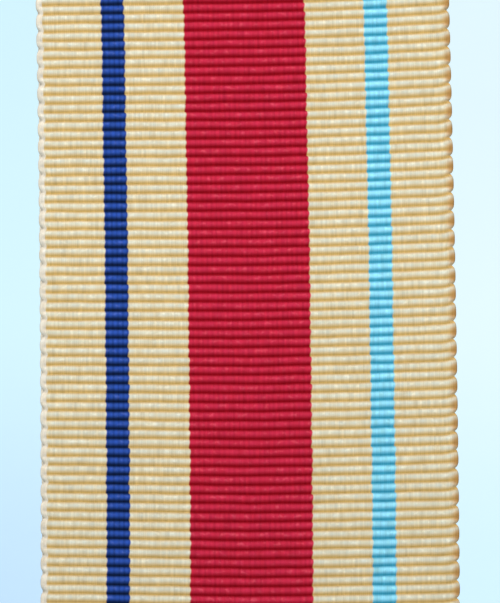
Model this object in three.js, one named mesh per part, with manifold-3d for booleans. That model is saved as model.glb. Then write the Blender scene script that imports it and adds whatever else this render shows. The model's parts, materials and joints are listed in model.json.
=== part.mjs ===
// A full-size service medal, as it hangs from the wearer's coat: a brooch with a safety pin,
// a woven ribbon sewn into a loop, a straight-bar suspender and a round struck medal that
// turns on a swivel. Millimetres, +Z up. The front faces -Y, and the origin is the middle of
// the brooch's back face.
import * as THREE from 'three';
import { mergeVertices } from 'three/addons/utils/BufferGeometryUtils.js';
import Module from 'manifold-3d';

// Driving dimensions
const RIBBON_WIDTH = 32;
const RIBBON_THICKNESS = 0.5;
const RAIL_DROP = 52; // from the brooch's rail to the suspender's rail
const HEM_TOP_DROP = 21; // where the ribbon's ends start to lap, below the brooch's rail
const HEM_LENGTH = 12;

const BAR_WIDTH = 37; // the brooch and the suspender are the same width
const BAR_DEPTH = 2.4;
const CHEEK_WIDTH = 1.9; // the ends that carry a rail
const RAIL_RADIUS = 0.8;
const RAIL_PLAY = 0.1; // between a rail and the ribbon that loops round it
const BORE_CLEARANCE = 0.03;

const BROOCH_TOP = 4.5;
const BROOCH_RAIL_Z = -3.5;
const BROOCH_CORNER = 1.2;
const BROOCH_SLOT = 1.6; // clear height between the rail and the front bar
const PANEL_MARGIN = 0.8;
const PANEL_RISE = 0.5;

const PIN_Z = 1.9;
const PIN_Y = 2.2; // the pin's axis stands this far behind the brooch
const PIN_HINGE_X = -14.6;
const PIN_RADIUS = 0.5;
const PIN_TAPER_X = 12.8;
const PIN_TIP_X = 16.3;
const PIN_TIP_RADIUS = 0.08;
const PIN_EYE_RADIUS = 1.0;
const PIN_EYE_HEIGHT = 0.9;
const PIN_RIVET_RADIUS = 0.4;
const FITTING_LENGTH = 4; // the soldered feet of the hinge and the catch
const FITTING_HEIGHT = 3.6;
const FITTING_FOOT = 0.5;
const EAR_THICKNESS = 0.5;
const EAR_GAP = 1.1;

const CATCH_X = 14;
const CATCH_WIDTH = 2.2;
const CATCH_RADIUS = 1.9;
const CATCH_BORE = 1.35;
const CATCH_MOUTH = 1.3;
const ROLLER_RADIUS = 1.27;
const ROLLER_BORE = 0.65;
const ROLLER_FLANGE_RADIUS = 1.6;
const ROLLER_FLANGE = 0.3;
const ROLLER_END_PLAY = 0.15;
const TAB_LENGTH = 2.7; // from the pin's axis
const TAB_WIDTH = 1.5;
const TAB_THICKNESS = 0.6;
const TAB_ANGLE = THREE.MathUtils.degToRad(75); // from straight back towards up

const SUSPENDER_DEPTH = 2;
const SUSPENDER_SHOULDER_DROP = 2.6; // everything below is measured down from the rail's axis
const SUSPENDER_SEAT_DROP = 4.05;
const SUSPENDER_FOOT_DROP = 8.4;
const BOSS_RADIUS = 1.9;
const POST_RADIUS = 0.8;
const POST_BORE = 0.88;
const POST_HEAD_RADIUS = 1.35;
const POST_HEAD_HEIGHT = 0.75;
const POST_COLLAR_RADIUS = 1.5;
const POST_COLLAR_HEIGHT = 0.5;
const POST_STUB_RADIUS = 0.9;
const POST_STUB_LENGTH = 1.3;
const SWIVEL_PLAY = 0.05;

const DISC_RADIUS = 18;
const RIM_THICKNESS = 2.6;
const RIM_INNER_RADIUS = 16.6;
const BAND_THICKNESS = 1.9;
const FIELD_RADIUS = 13.6;
const FIELD_THICKNESS = 1.7;
const DISC_HEAD_GAP = 2; // from the claw's top down to the disc's edge
const CLAW_DEPTH = 4.6;
const CLAW_HEIGHT = 5.9;
const CLAW_HALF_WIDTH = 5;
const CLAW_NECK = 1.9;
const CLAW_RIM_PLAY = 0.1;
const CLAW_RIVET_DROP = 4.3; // below the claw's top
const CLAW_RIVET_RADIUS = 0.7;

// Levels and places that follow from them
const LOOP_Y = -BAR_DEPTH / 2; // both rails, the ribbon and the medal are centred on this plane
const SUSPENDER_RAIL_Z = BROOCH_RAIL_Z - RAIL_DROP;
const LOOP_INNER_RADIUS = RAIL_RADIUS + RAIL_PLAY;
const LOOP_OUTER_RADIUS = LOOP_INNER_RADIUS + RIBBON_THICKNESS;
const HALF_BAR = BAR_WIDTH / 2;
const CHEEK_INNER_X = HALF_BAR - CHEEK_WIDTH;
const COLLAR_TOP_Z = SUSPENDER_RAIL_Z - SUSPENDER_FOOT_DROP - SWIVEL_PLAY;
const CLAW_TOP_Z = COLLAR_TOP_Z - POST_COLLAR_HEIGHT - SWIVEL_PLAY;
const DISC_Z = CLAW_TOP_Z - DISC_HEAD_GAP - DISC_RADIUS;
const CLAW_RIVET_Z = CLAW_TOP_Z - CLAW_RIVET_DROP;

const ROUND = 32; // sides of a large round part
const SMALL_ROUND = 20;

const wasm = await Module();
wasm.setup();

// Closed three.js geometry to a solid, and back
function solid(geometry) {
  const bare = geometry.clone();
  bare.deleteAttribute('normal');
  bare.deleteAttribute('uv');
  const merged = mergeVertices(bare, 1e-4);
  const mesh = new wasm.Mesh({
    numProp: 3,
    vertProperties: new Float32Array(merged.attributes.position.array),
    triVerts: new Uint32Array(merged.index.array),
  });
  return new wasm.Manifold(mesh);
}

function toGeometry(body) {
  const mesh = body.getMesh();
  const geometry = new THREE.BufferGeometry();
  geometry.setAttribute('position', new THREE.BufferAttribute(mesh.vertProperties, 3));
  geometry.setIndex(new THREE.BufferAttribute(mesh.triVerts, 1));
  geometry.computeVertexNormals();
  return geometry;
}

// Basic forms, each already in its place
function block(x0, x1, y0, y1, z0, z1) {
  const box = new THREE.BoxGeometry(x1 - x0, y1 - y0, z1 - z0);
  return solid(box.translate((x0 + x1) / 2, (y0 + y1) / 2, (z0 + z1) / 2));
}

// A shape drawn in X and Z, from yBack forward by depth
function facing(shape, yBack, depth, bevel = 0) {
  const geometry = new THREE.ExtrudeGeometry(shape, {
    depth: depth - 2 * bevel,
    curveSegments: 10,
    bevelEnabled: bevel > 0,
    bevelThickness: bevel,
    bevelSize: bevel,
    bevelOffset: -bevel,
    bevelSegments: 2,
  });
  return solid(geometry.translate(0, 0, bevel).rotateX(Math.PI / 2).translate(0, yBack, 0));
}

// A shape drawn in Y and Z, from x0 to x1
const ALONG_X = new THREE.Matrix4().set(0, 0, 1, 0, 1, 0, 0, 0, 0, 1, 0, 0, 0, 0, 0, 1);
function across(shape, x0, x1, curveSegments = 12) {
  const options = { depth: x1 - x0, curveSegments, bevelEnabled: false };
  const geometry = new THREE.ExtrudeGeometry(shape, options);
  return solid(geometry.applyMatrix4(ALONG_X).translate(x0, 0, 0));
}

function rodAlongX(radius, x0, x1, y, z, sides = SMALL_ROUND) {
  const rod = new THREE.CylinderGeometry(radius, radius, x1 - x0, sides);
  return solid(rod.rotateZ(Math.PI / 2).translate((x0 + x1) / 2, y, z));
}

function rodAlongY(radius, y0, y1, x, z, sides = SMALL_ROUND) {
  const rod = new THREE.CylinderGeometry(radius, radius, y1 - y0, sides);
  return solid(rod.translate(x, (y0 + y1) / 2, z));
}

function rodAlongZ(radius, z0, z1, x, y, sides = SMALL_ROUND) {
  const rod = new THREE.CylinderGeometry(radius, radius, z1 - z0, sides);
  return solid(rod.rotateX(Math.PI / 2).translate(x, y, (z0 + z1) / 2));
}

// A turned part: [radius, height] points from the axis back to the axis, spun about local Y
function turned(points, sides = SMALL_ROUND) {
  return new THREE.LatheGeometry(points.map(([r, h]) => new THREE.Vector2(r, h)), sides);
}

// A shaft between two domed heads, for rivets
function rivetProfile(shaft, head, headHeight, grip) {
  const end = grip / 2 + headHeight;
  const dome = head * 0.6;
  return [
    [0, -end],
    [dome, -end],
    [head, -grip / 2],
    [shaft, -grip / 2],
    [shaft, grip / 2],
    [head, grip / 2],
    [dome, end],
    [0, end],
  ];
}

// Brooch

function broochFrame() {
  const barFoot = BROOCH_RAIL_Z + RAIL_RADIUS + BROOCH_SLOT;
  const top = BROOCH_TOP;
  const outline = new THREE.Shape();
  outline.moveTo(-HALF_BAR, BROOCH_RAIL_Z);
  outline.lineTo(-CHEEK_INNER_X, BROOCH_RAIL_Z);
  outline.lineTo(-CHEEK_INNER_X, barFoot);
  outline.lineTo(CHEEK_INNER_X, barFoot);
  outline.lineTo(CHEEK_INNER_X, BROOCH_RAIL_Z);
  outline.lineTo(HALF_BAR, BROOCH_RAIL_Z);
  outline.lineTo(HALF_BAR, top - BROOCH_CORNER);
  outline.absarc(HALF_BAR - BROOCH_CORNER, top - BROOCH_CORNER, BROOCH_CORNER, 0, Math.PI / 2);
  outline.lineTo(-HALF_BAR + BROOCH_CORNER, top);
  outline.absarc(
    -HALF_BAR + BROOCH_CORNER, top - BROOCH_CORNER, BROOCH_CORNER, Math.PI / 2, Math.PI);
  outline.closePath();

  const panelX = HALF_BAR - PANEL_MARGIN;
  const panel = new THREE.Shape();
  panel.moveTo(-panelX, barFoot + PANEL_MARGIN);
  panel.lineTo(panelX, barFoot + PANEL_MARGIN);
  panel.lineTo(panelX, top - PANEL_MARGIN);
  panel.lineTo(-panelX, top - PANEL_MARGIN);
  panel.closePath();

  const overlap = 0.3; // how deep the panel is sunk into the plate behind it
  let frame = facing(outline, 0, BAR_DEPTH);
  frame = frame.add(facing(panel, -BAR_DEPTH + overlap, PANEL_RISE + overlap, overlap / 2));
  for (const side of [-1, 1]) {
    const x0 = side < 0 ? -HALF_BAR : CHEEK_INNER_X;
    const knuckle = rodAlongX(BAR_DEPTH / 2, x0, x0 + CHEEK_WIDTH, LOOP_Y, BROOCH_RAIL_Z);
    frame = frame.add(knuckle);
  }
  const bore = RAIL_RADIUS + BORE_CLEARANCE;
  return frame.subtract(rodAlongX(bore, -BAR_WIDTH, BAR_WIDTH, LOOP_Y, BROOCH_RAIL_Z));
}

function broochRail() {
  const reach = HALF_BAR - BORE_CLEARANCE;
  return rodAlongX(RAIL_RADIUS, -reach, reach, LOOP_Y, BROOCH_RAIL_Z);
}

// The foot that a pin fitting is soldered down by
function fittingFoot(x) {
  const halfX = FITTING_LENGTH / 2;
  const halfZ = FITTING_HEIGHT / 2;
  return block(x - halfX, x + halfX, 0, FITTING_FOOT, PIN_Z - halfZ, PIN_Z + halfZ);
}

function pinHingeBracket() {
  const ear = new THREE.Shape();
  ear.moveTo(PIN_HINGE_X - PIN_EYE_RADIUS - 0.5, 0);
  ear.lineTo(PIN_HINGE_X + PIN_EYE_RADIUS + 0.5, 0);
  ear.lineTo(PIN_HINGE_X + PIN_EYE_RADIUS, PIN_Y);
  ear.absarc(PIN_HINGE_X, PIN_Y, PIN_EYE_RADIUS, 0, Math.PI);
  ear.closePath();
  const options = { depth: EAR_THICKNESS, curveSegments: 10, bevelEnabled: false };
  let bracket = fittingFoot(PIN_HINGE_X);
  for (const z0 of [PIN_Z - EAR_GAP / 2 - EAR_THICKNESS, PIN_Z + EAR_GAP / 2]) {
    const plate = new THREE.ExtrudeGeometry(ear, options);
    bracket = bracket.add(solid(plate.translate(0, 0, z0)));
  }
  const bore = PIN_RIVET_RADIUS + BORE_CLEARANCE;
  return bracket.subtract(rodAlongZ(bore, -BAR_WIDTH, BAR_WIDTH, PIN_HINGE_X, PIN_Y));
}

function pinHingeRivet() {
  const grip = EAR_GAP + 2 * EAR_THICKNESS + 2 * BORE_CLEARANCE;
  const profile = rivetProfile(PIN_RIVET_RADIUS, 0.7, 0.25, grip);
  return solid(turned(profile).rotateX(Math.PI / 2).translate(PIN_HINGE_X, PIN_Y, PIN_Z));
}

function broochPin() {
  const halfEye = PIN_EYE_HEIGHT / 2;
  const shank = turned([
    [0, 0],
    [PIN_RADIUS * 0.9, 0],
    [PIN_RADIUS, 1],
    [PIN_RADIUS, PIN_TAPER_X - PIN_HINGE_X],
    [PIN_TIP_RADIUS, PIN_TIP_X - PIN_HINGE_X],
    [0, PIN_TIP_X - PIN_HINGE_X],
  ], 16);
  const stem = solid(shank.rotateZ(-Math.PI / 2).translate(PIN_HINGE_X, PIN_Y, PIN_Z));
  const eye = rodAlongZ(PIN_EYE_RADIUS, PIN_Z - halfEye, PIN_Z + halfEye, PIN_HINGE_X, PIN_Y);
  // The stem is trimmed to the eye's height where it would fill the ears' gap
  const root = block(PIN_HINGE_X - 2, PIN_HINGE_X + 2, 0, 2 * PIN_Y, PIN_Z - 1, PIN_Z + 1);
  const flat = block(
    PIN_HINGE_X - 2, PIN_HINGE_X + 2, 0, 2 * PIN_Y, PIN_Z - halfEye, PIN_Z + halfEye);
  const trimmed = stem.subtract(root.subtract(flat));
  const bore = PIN_RIVET_RADIUS + 2 * BORE_CLEARANCE;
  return trimmed.add(eye).subtract(rodAlongZ(bore, -BAR_WIDTH, BAR_WIDTH, PIN_HINGE_X, PIN_Y));
}

// An open ring about the pin's line, with its mouth straight back
function openRing(outer, inner, x0, x1) {
  const ring = rodAlongX(outer, x0, x1, PIN_Y, PIN_Z, ROUND);
  return ring.subtract(rodAlongX(inner, x0 - 1, x1 + 1, PIN_Y, PIN_Z, ROUND));
}

function mouth() {
  const half = CATCH_MOUTH / 2;
  return block(CATCH_X - 5, CATCH_X + 5, PIN_Y, PIN_Y + 5, PIN_Z - half, PIN_Z + half);
}

const CATCH_LEFT = CATCH_X - CATCH_WIDTH / 2;
const CATCH_RIGHT = CATCH_X + CATCH_WIDTH / 2;

function catchHousing() {
  const ring = openRing(CATCH_RADIUS, CATCH_BORE, CATCH_LEFT, CATCH_RIGHT);
  const bore = rodAlongX(CATCH_BORE, CATCH_LEFT - 5, CATCH_RIGHT + 5, PIN_Y, PIN_Z, ROUND);
  return fittingFoot(CATCH_X).add(ring).subtract(bore).subtract(mouth());
}

function catchRoller() {
  const flangeEnd = CATCH_LEFT - ROLLER_END_PLAY;
  const tabStart = CATCH_RIGHT + ROLLER_END_PLAY;
  const tabEnd = tabStart + TAB_THICKNESS;
  const tube = openRing(ROLLER_RADIUS, ROLLER_BORE, flangeEnd - ROLLER_FLANGE, tabEnd);
  const flange = openRing(
    ROLLER_FLANGE_RADIUS, ROLLER_BORE, flangeEnd - ROLLER_FLANGE, flangeEnd);
  const tabShape = new THREE.Shape();
  tabShape.moveTo(0, -TAB_WIDTH / 2);
  tabShape.lineTo(TAB_LENGTH - TAB_WIDTH / 2, -TAB_WIDTH / 2);
  tabShape.absarc(TAB_LENGTH - TAB_WIDTH / 2, 0, TAB_WIDTH / 2, -Math.PI / 2, Math.PI / 2);
  tabShape.lineTo(0, TAB_WIDTH / 2);
  tabShape.closePath();
  const options = { depth: TAB_THICKNESS, curveSegments: 8, bevelEnabled: false };
  const plate = new THREE.ExtrudeGeometry(tabShape, options).rotateZ(TAB_ANGLE);
  const tab = solid(plate.applyMatrix4(ALONG_X).translate(tabStart, PIN_Y, PIN_Z));
  const bore = rodAlongX(ROLLER_BORE, CATCH_X - 5, CATCH_X + 5, PIN_Y, PIN_Z, ROUND);
  return tube.add(flange).add(tab).subtract(bore).subtract(mouth());
}

// Ribbon: one strip, round both rails, its ends lapped and sewn together behind

function ribbon() {
  const front = LOOP_Y - LOOP_OUTER_RADIUS;
  const back = LOOP_Y + LOOP_OUTER_RADIUS;
  const hemTop = BROOCH_RAIL_Z - HEM_TOP_DROP;
  const hemFoot = hemTop - HEM_LENGTH;
  const step = RIBBON_THICKNESS;
  const loop = new THREE.Shape();
  loop.moveTo(front, BROOCH_RAIL_Z);
  loop.lineTo(front, SUSPENDER_RAIL_Z);
  loop.absarc(LOOP_Y, SUSPENDER_RAIL_Z, LOOP_OUTER_RADIUS, Math.PI, 2 * Math.PI);
  loop.lineTo(back, hemFoot - step);
  loop.lineTo(back + step, hemFoot);
  loop.lineTo(back + step, hemTop);
  loop.lineTo(back, hemTop + step);
  loop.lineTo(back, BROOCH_RAIL_Z);
  loop.absarc(LOOP_Y, BROOCH_RAIL_Z, LOOP_OUTER_RADIUS, 0, Math.PI);
  loop.closePath();
  const inside = new THREE.Path();
  inside.moveTo(LOOP_Y - LOOP_INNER_RADIUS, SUSPENDER_RAIL_Z);
  inside.absarc(LOOP_Y, SUSPENDER_RAIL_Z, LOOP_INNER_RADIUS, Math.PI, 2 * Math.PI);
  inside.lineTo(LOOP_Y + LOOP_INNER_RADIUS, BROOCH_RAIL_Z);
  inside.absarc(LOOP_Y, BROOCH_RAIL_Z, LOOP_INNER_RADIUS, 0, Math.PI);
  inside.closePath();
  loop.holes.push(inside);
  return across(loop, -RIBBON_WIDTH / 2, RIBBON_WIDTH / 2);
}

// Suspender

function suspenderBar() {
  const z = (drop) => SUSPENDER_RAIL_Z - drop;
  const shoulder = SUSPENDER_SHOULDER_DROP;
  const seat = SUSPENDER_SEAT_DROP;
  const foot = SUSPENDER_FOOT_DROP;
  const bow = new THREE.Shape();
  bow.moveTo(-HALF_BAR, z(0));
  bow.lineTo(-HALF_BAR, z(shoulder));
  bow.bezierCurveTo(-HALF_BAR, z(shoulder + 3.6), -7, z(foot - 3.2), -BOSS_RADIUS, z(foot - 0.4));
  bow.lineTo(BOSS_RADIUS, z(foot - 0.4));
  bow.bezierCurveTo(7, z(foot - 3.2), HALF_BAR, z(shoulder + 3.6), HALF_BAR, z(shoulder));
  bow.lineTo(HALF_BAR, z(0));
  bow.lineTo(CHEEK_INNER_X, z(0));
  bow.lineTo(CHEEK_INNER_X, z(shoulder - 0.4));
  bow.bezierCurveTo(CHEEK_INNER_X - 1, z(seat), 8, z(seat - 0.6), BOSS_RADIUS, z(seat));
  bow.lineTo(-BOSS_RADIUS, z(seat));
  bow.bezierCurveTo(-8, z(seat - 0.6), -CHEEK_INNER_X + 1, z(seat), -CHEEK_INNER_X, z(shoulder - 0.4));
  bow.lineTo(-CHEEK_INNER_X, z(0));
  bow.closePath();

  let bar = facing(bow, LOOP_Y + SUSPENDER_DEPTH / 2, SUSPENDER_DEPTH);
  bar = bar.add(rodAlongX(RAIL_RADIUS, -HALF_BAR + 0.5, HALF_BAR - 0.5, LOOP_Y, z(0)));
  for (const x0 of [-HALF_BAR, CHEEK_INNER_X]) {
    bar = bar.add(rodAlongX(BAR_DEPTH / 2, x0, x0 + CHEEK_WIDTH, LOOP_Y, z(0)));
  }
  bar = bar.add(rodAlongZ(BOSS_RADIUS, z(foot), z(seat), 0, LOOP_Y));
  return bar.subtract(rodAlongZ(POST_BORE, z(foot + 5), z(seat - 1), 0, LOOP_Y));
}

// Swivel and medal

function swivelPost() {
  const headFoot = SUSPENDER_RAIL_Z - SUSPENDER_SEAT_DROP + SWIVEL_PLAY;
  const headTop = headFoot + POST_HEAD_HEIGHT;
  const collarFoot = COLLAR_TOP_Z - POST_COLLAR_HEIGHT;
  const profile = turned([
    [0, collarFoot - POST_STUB_LENGTH],
    [POST_STUB_RADIUS, collarFoot - POST_STUB_LENGTH],
    [POST_STUB_RADIUS, collarFoot],
    [POST_COLLAR_RADIUS, collarFoot],
    [POST_COLLAR_RADIUS, COLLAR_TOP_Z],
    [POST_RADIUS, COLLAR_TOP_Z],
    [POST_RADIUS, headFoot],
    [POST_HEAD_RADIUS, headFoot],
    [POST_HEAD_RADIUS * 0.6, headTop],
    [0, headTop],
  ]);
  return solid(profile.rotateX(Math.PI / 2).translate(0, LOOP_Y, 0));
}

function claw() {
  const z = (drop) => CLAW_TOP_Z - drop;
  const half = CLAW_HALF_WIDTH;
  const leaf = new THREE.Shape();
  leaf.moveTo(-CLAW_NECK, z(0));
  leaf.quadraticCurveTo(-CLAW_NECK, z(1.5), -half, z(2.3));
  leaf.quadraticCurveTo(-half + 0.2, z(4.4), -half * 0.5, z(4.6));
  leaf.quadraticCurveTo(-1.4, z(4.8), 0, z(CLAW_HEIGHT));
  leaf.quadraticCurveTo(1.4, z(4.8), half * 0.5, z(4.6));
  leaf.quadraticCurveTo(half - 0.2, z(4.4), half, z(2.3));
  leaf.quadraticCurveTo(CLAW_NECK, z(1.5), CLAW_NECK, z(0));
  leaf.closePath();
  const body = facing(leaf, LOOP_Y + CLAW_DEPTH / 2, CLAW_DEPTH, 0.3);
  const halfGap = RIM_THICKNESS / 2 + CLAW_RIM_PLAY;
  const gap = rodAlongY(
    DISC_RADIUS + CLAW_RIM_PLAY, LOOP_Y - halfGap, LOOP_Y + halfGap, 0, DISC_Z, 2 * ROUND);
  const postBore = rodAlongZ(
    POST_STUB_RADIUS + BORE_CLEARANCE, z(POST_STUB_LENGTH + 0.2), z(-1), 0, LOOP_Y);
  const rivetBore = rodAlongY(
    CLAW_RIVET_RADIUS + BORE_CLEARANCE, -2 * CLAW_DEPTH, 2 * CLAW_DEPTH, 0, CLAW_RIVET_Z);
  return body.subtract(gap).subtract(postBore).subtract(rivetBore);
}

function clawRivet() {
  const profile = rivetProfile(CLAW_RIVET_RADIUS, 1.05, 0.3, CLAW_DEPTH + 2 * BORE_CLEARANCE);
  return solid(turned(profile).translate(0, LOOP_Y, CLAW_RIVET_Z));
}

function medalDisc() {
  const rim = RIM_THICKNESS / 2;
  const band = BAND_THICKNESS / 2;
  const field = FIELD_THICKNESS / 2;
  const face = [
    [0, field],
    [FIELD_RADIUS, field],
    [FIELD_RADIUS + 0.2, band],
    [RIM_INNER_RADIUS, band],
    [RIM_INNER_RADIUS + 0.4, rim],
    [DISC_RADIUS - 0.3, rim],
    [DISC_RADIUS, rim - 0.3],
  ];
  const mirrored = face.map(([r, h]) => [r, -h]);
  const disc = turned([...mirrored, ...face.reverse()], 2 * ROUND);
  const rivetBore = rodAlongY(
    CLAW_RIVET_RADIUS + BORE_CLEARANCE, -2 * CLAW_DEPTH, 2 * CLAW_DEPTH, 0, CLAW_RIVET_Z);
  return solid(disc.translate(0, LOOP_Y, DISC_Z)).subtract(rivetBore);
}

// Finishes: colour, roughness, metalness
const GILDING_BRASS = [0xb89455, 0.34, 1];
const BRONZE = [0x8f6b3a, 0.42, 1];
const NICKEL_PLATE = [0xb9bcbd, 0.28, 1];
const STEEL_WIRE = [0x9fa3a6, 0.3, 1];
const RIBBON_BUFF = [0xd4c49c, 0.85, 0];

const object = new THREE.Group();

function add(parent, name, body, [color, roughness, metalness]) {
  const material = new THREE.MeshStandardMaterial({ color, roughness, metalness });
  const mesh = new THREE.Mesh(toGeometry(body), material);
  mesh.name = name;
  parent.add(mesh);
}

const brooch = new THREE.Group();
add(brooch, 'brooch_frame', broochFrame(), GILDING_BRASS);
add(brooch, 'brooch_rail', broochRail(), GILDING_BRASS);
add(brooch, 'pin_hinge_bracket', pinHingeBracket(), NICKEL_PLATE);
add(brooch, 'pin_hinge_rivet', pinHingeRivet(), NICKEL_PLATE);
add(brooch, 'catch_housing', catchHousing(), NICKEL_PLATE);
add(brooch, 'catch_roller', catchRoller(), NICKEL_PLATE);
add(brooch, 'brooch_pin', broochPin(), STEEL_WIRE);

const medal = new THREE.Group();
add(medal, 'swivel_post', swivelPost(), BRONZE);
add(medal, 'claw', claw(), BRONZE);
add(medal, 'claw_rivet', clawRivet(), BRONZE);
add(medal, 'medal_disc', medalDisc(), BRONZE);

object.add(brooch);
add(object, 'ribbon', ribbon(), RIBBON_BUFF);
add(object, 'suspender_bar', suspenderBar(), BRONZE);
object.add(medal);

export default object;
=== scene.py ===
"""Visual model of a full-size service medal: ribbon, brooch, suspender and struck disc."""

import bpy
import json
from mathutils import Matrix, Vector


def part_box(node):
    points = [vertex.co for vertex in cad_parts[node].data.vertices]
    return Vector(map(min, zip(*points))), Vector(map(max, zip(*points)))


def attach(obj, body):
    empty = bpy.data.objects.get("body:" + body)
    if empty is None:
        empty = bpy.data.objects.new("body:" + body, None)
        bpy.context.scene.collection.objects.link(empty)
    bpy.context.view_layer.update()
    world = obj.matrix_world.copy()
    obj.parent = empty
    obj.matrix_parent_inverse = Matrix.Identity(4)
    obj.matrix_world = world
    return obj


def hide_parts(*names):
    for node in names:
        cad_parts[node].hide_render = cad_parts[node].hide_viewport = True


bl_info = {
    "name": "Service Medal",
    "version": (1, 0, 0),
    "blender": (4, 5, 0),
    "location": "3D View > Sidebar > Medal",
    "description": "Builds a full-size service medal on its ribbon, with brooch and suspender",
    "category": "Object",
}

import json
import math

import bmesh
import bpy
from bpy.props import FloatProperty, FloatVectorProperty, IntProperty, PointerProperty
from mathutils import Matrix, Vector

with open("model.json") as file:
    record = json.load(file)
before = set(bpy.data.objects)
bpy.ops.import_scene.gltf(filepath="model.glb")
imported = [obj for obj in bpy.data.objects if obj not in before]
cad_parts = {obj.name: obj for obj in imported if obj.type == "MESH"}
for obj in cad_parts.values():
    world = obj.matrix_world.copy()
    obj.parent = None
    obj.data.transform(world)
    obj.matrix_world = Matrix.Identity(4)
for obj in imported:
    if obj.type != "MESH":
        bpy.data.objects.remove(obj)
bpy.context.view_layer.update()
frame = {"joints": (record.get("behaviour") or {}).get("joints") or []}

MM = 0.001
FULL_TURN = 2 * math.pi
PIVOT = {joint["name"]: Vector(joint["pos_m"]) for joint in frame["joints"]}
BROOCH_RAIL = PIVOT["ribbon_swing"]
SUSPENDER_RAIL = PIVOT["suspender_swing"]
PIN_LINE = PIVOT["catch_turn"]
PIN_HINGE = PIVOT["pin_open"]
LOOP_Y = BROOCH_RAIL.y
RAIL_RADIUS = 0.8 * MM
KNUCKLE_RADIUS = 1.2 * MM
CHEEK_WIDTH = 1.9 * MM
DISC_LOW, DISC_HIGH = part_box("medal_disc")
DISC_CENTRE = (DISC_LOW + DISC_HIGH) / 2
DISC_RADIUS = (DISC_HIGH.x - DISC_LOW.x) / 2
RIM_HALF = (DISC_HIGH.y - DISC_LOW.y) / 2
RIVET_LOW, RIVET_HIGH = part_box("claw_rivet")
RIVET_CENTRE = (RIVET_LOW + RIVET_HIGH) / 2

# Where the selvedges' loops, each two ribs long, start against the ribs, in loops
LEFT_LOOP_SHIFT = 0.125
RIGHT_LOOP_SHIFT = 0.66

# Ways to stand a shape up: what its own x, y and z become
FACING = Matrix.Rotation(math.radians(90), 4, "X")  # x, z, and forward
BEHIND = Matrix.Rotation(math.radians(180), 4, "Z") @ FACING  # the same, seen from behind
ALONG_X = Matrix(((0, 0, 1, 0), (1, 0, 0, 0), (0, 1, 0, 0), (0, 0, 0, 1)))


# --------------------------------------------------------------------------- sizes and colours


def length(label, default, about):
    """A size in metres, shown with its unit."""
    return FloatProperty(
        name=label, description=about, default=default, unit="LENGTH", precision=5, min=0)


def colour(label, default, about):
    """A linear colour."""
    return FloatVectorProperty(
        name=label, description=about, default=default, subtype="COLOR", size=3, min=0, max=1)


class MedalRibbonSettings(bpy.types.PropertyGroup):
    """Sizes and yarn colours of the ribbon, and the painted highlight and shade on its ribs and
    selvedges
    """

    width: length("Width", 32.3 * MM, "Full width of the ribbon")
    thickness: length("Thickness", 0.5 * MM, "Thickness over the ribs")
    core: length("Core", 0.2 * MM, "Thickness between two ribs")
    pitch: length("Rib pitch", 0.708 * MM, "Distance from one rib to the next")
    rows: IntProperty(name="Rows per rib", description="Mesh rows in one rib", default=6, min=4)
    columns: IntProperty(
        name="Columns", description="Mesh columns round the strip", default=80, min=16)
    notch: length("Selvedge notch", 0.25 * MM, "Depth of the scallops along the selvedges")
    selvedge: length("Selvedge", 0.5 * MM, "Width of the rounded selvedge")
    lap_top: length("Lap top", 21 * MM, "From the brooch's rail down to the lap behind")
    lap: length("Lap", 12 * MM, "Length of the sewn lap behind")
    stitch: length("Stitch", 1.5 * MM, "Length of one stitch")
    # The valley colours are painted shade between the ribs, and with them the rib colours paint
    # each rib's highlight
    buff: colour("Buff", (0.665, 0.63, 0.495), "Ground colour on the ribs")
    buff_valley_shade: colour("Buff, valley", (0.74, 0.45, 0.145), "Ground colour between the ribs")
    red: colour("Red", (0.56, 0.023, 0.060), "Central stripe on the ribs")
    red_valley_shade: colour("Red, valley", (0.33, 0.0025, 0.009), "Central stripe between the ribs")
    dark: colour("Dark blue", (0.024, 0.074, 0.36), "Left stripe on the ribs")
    dark_valley_shade: colour("Dark blue, valley", (0.005, 0.013, 0.050), "Left stripe between ribs")
    light: colour("Light blue", (0.31, 0.72, 0.90), "Right stripe on the ribs")
    light_valley_shade: colour("Light blue, valley", (0.052, 0.36, 0.52), "Right stripe between ribs")
    # The cord colour is a painted highlight on the left selvedge
    lit_cord: colour("Cord", (0.81, 0.71, 0.59), "Cord along the left selvedge")
    loop_shade: colour("Loop shade", (0.52, 0.26, 0.08), "Under the loops at the right selvedge")


class MedalMetalSettings(bpy.types.PropertyGroup):
    """Colours of the metals and sizes of the struck ornament"""

    bronze: colour("Bronze", (0.48, 0.29, 0.13), "Rubbed bronze on the high points")
    bronze_toned: colour("Toned bronze", (0.13, 0.065, 0.025), "Brown tone in the recesses")
    brass: colour("Gilding brass", (0.70, 0.50, 0.21), "Brooch, on the high points")
    brass_toned: colour("Toned brass", (0.23, 0.13, 0.04), "Brooch, in the recesses")
    nickel: colour("Nickel plate", (0.60, 0.58, 0.53), "Pin fittings")
    steel: colour("Steel wire", (0.56, 0.57, 0.58), "The pin")
    leaf: length("Leaf", 3.1 * MM, "Length of a laurel leaf on the disc")
    bead: length("Bead", 0.46 * MM, "Diameter of a bead inside the rim")
    star: length("Star", 6.6 * MM, "Radius of the star on the front")


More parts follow.
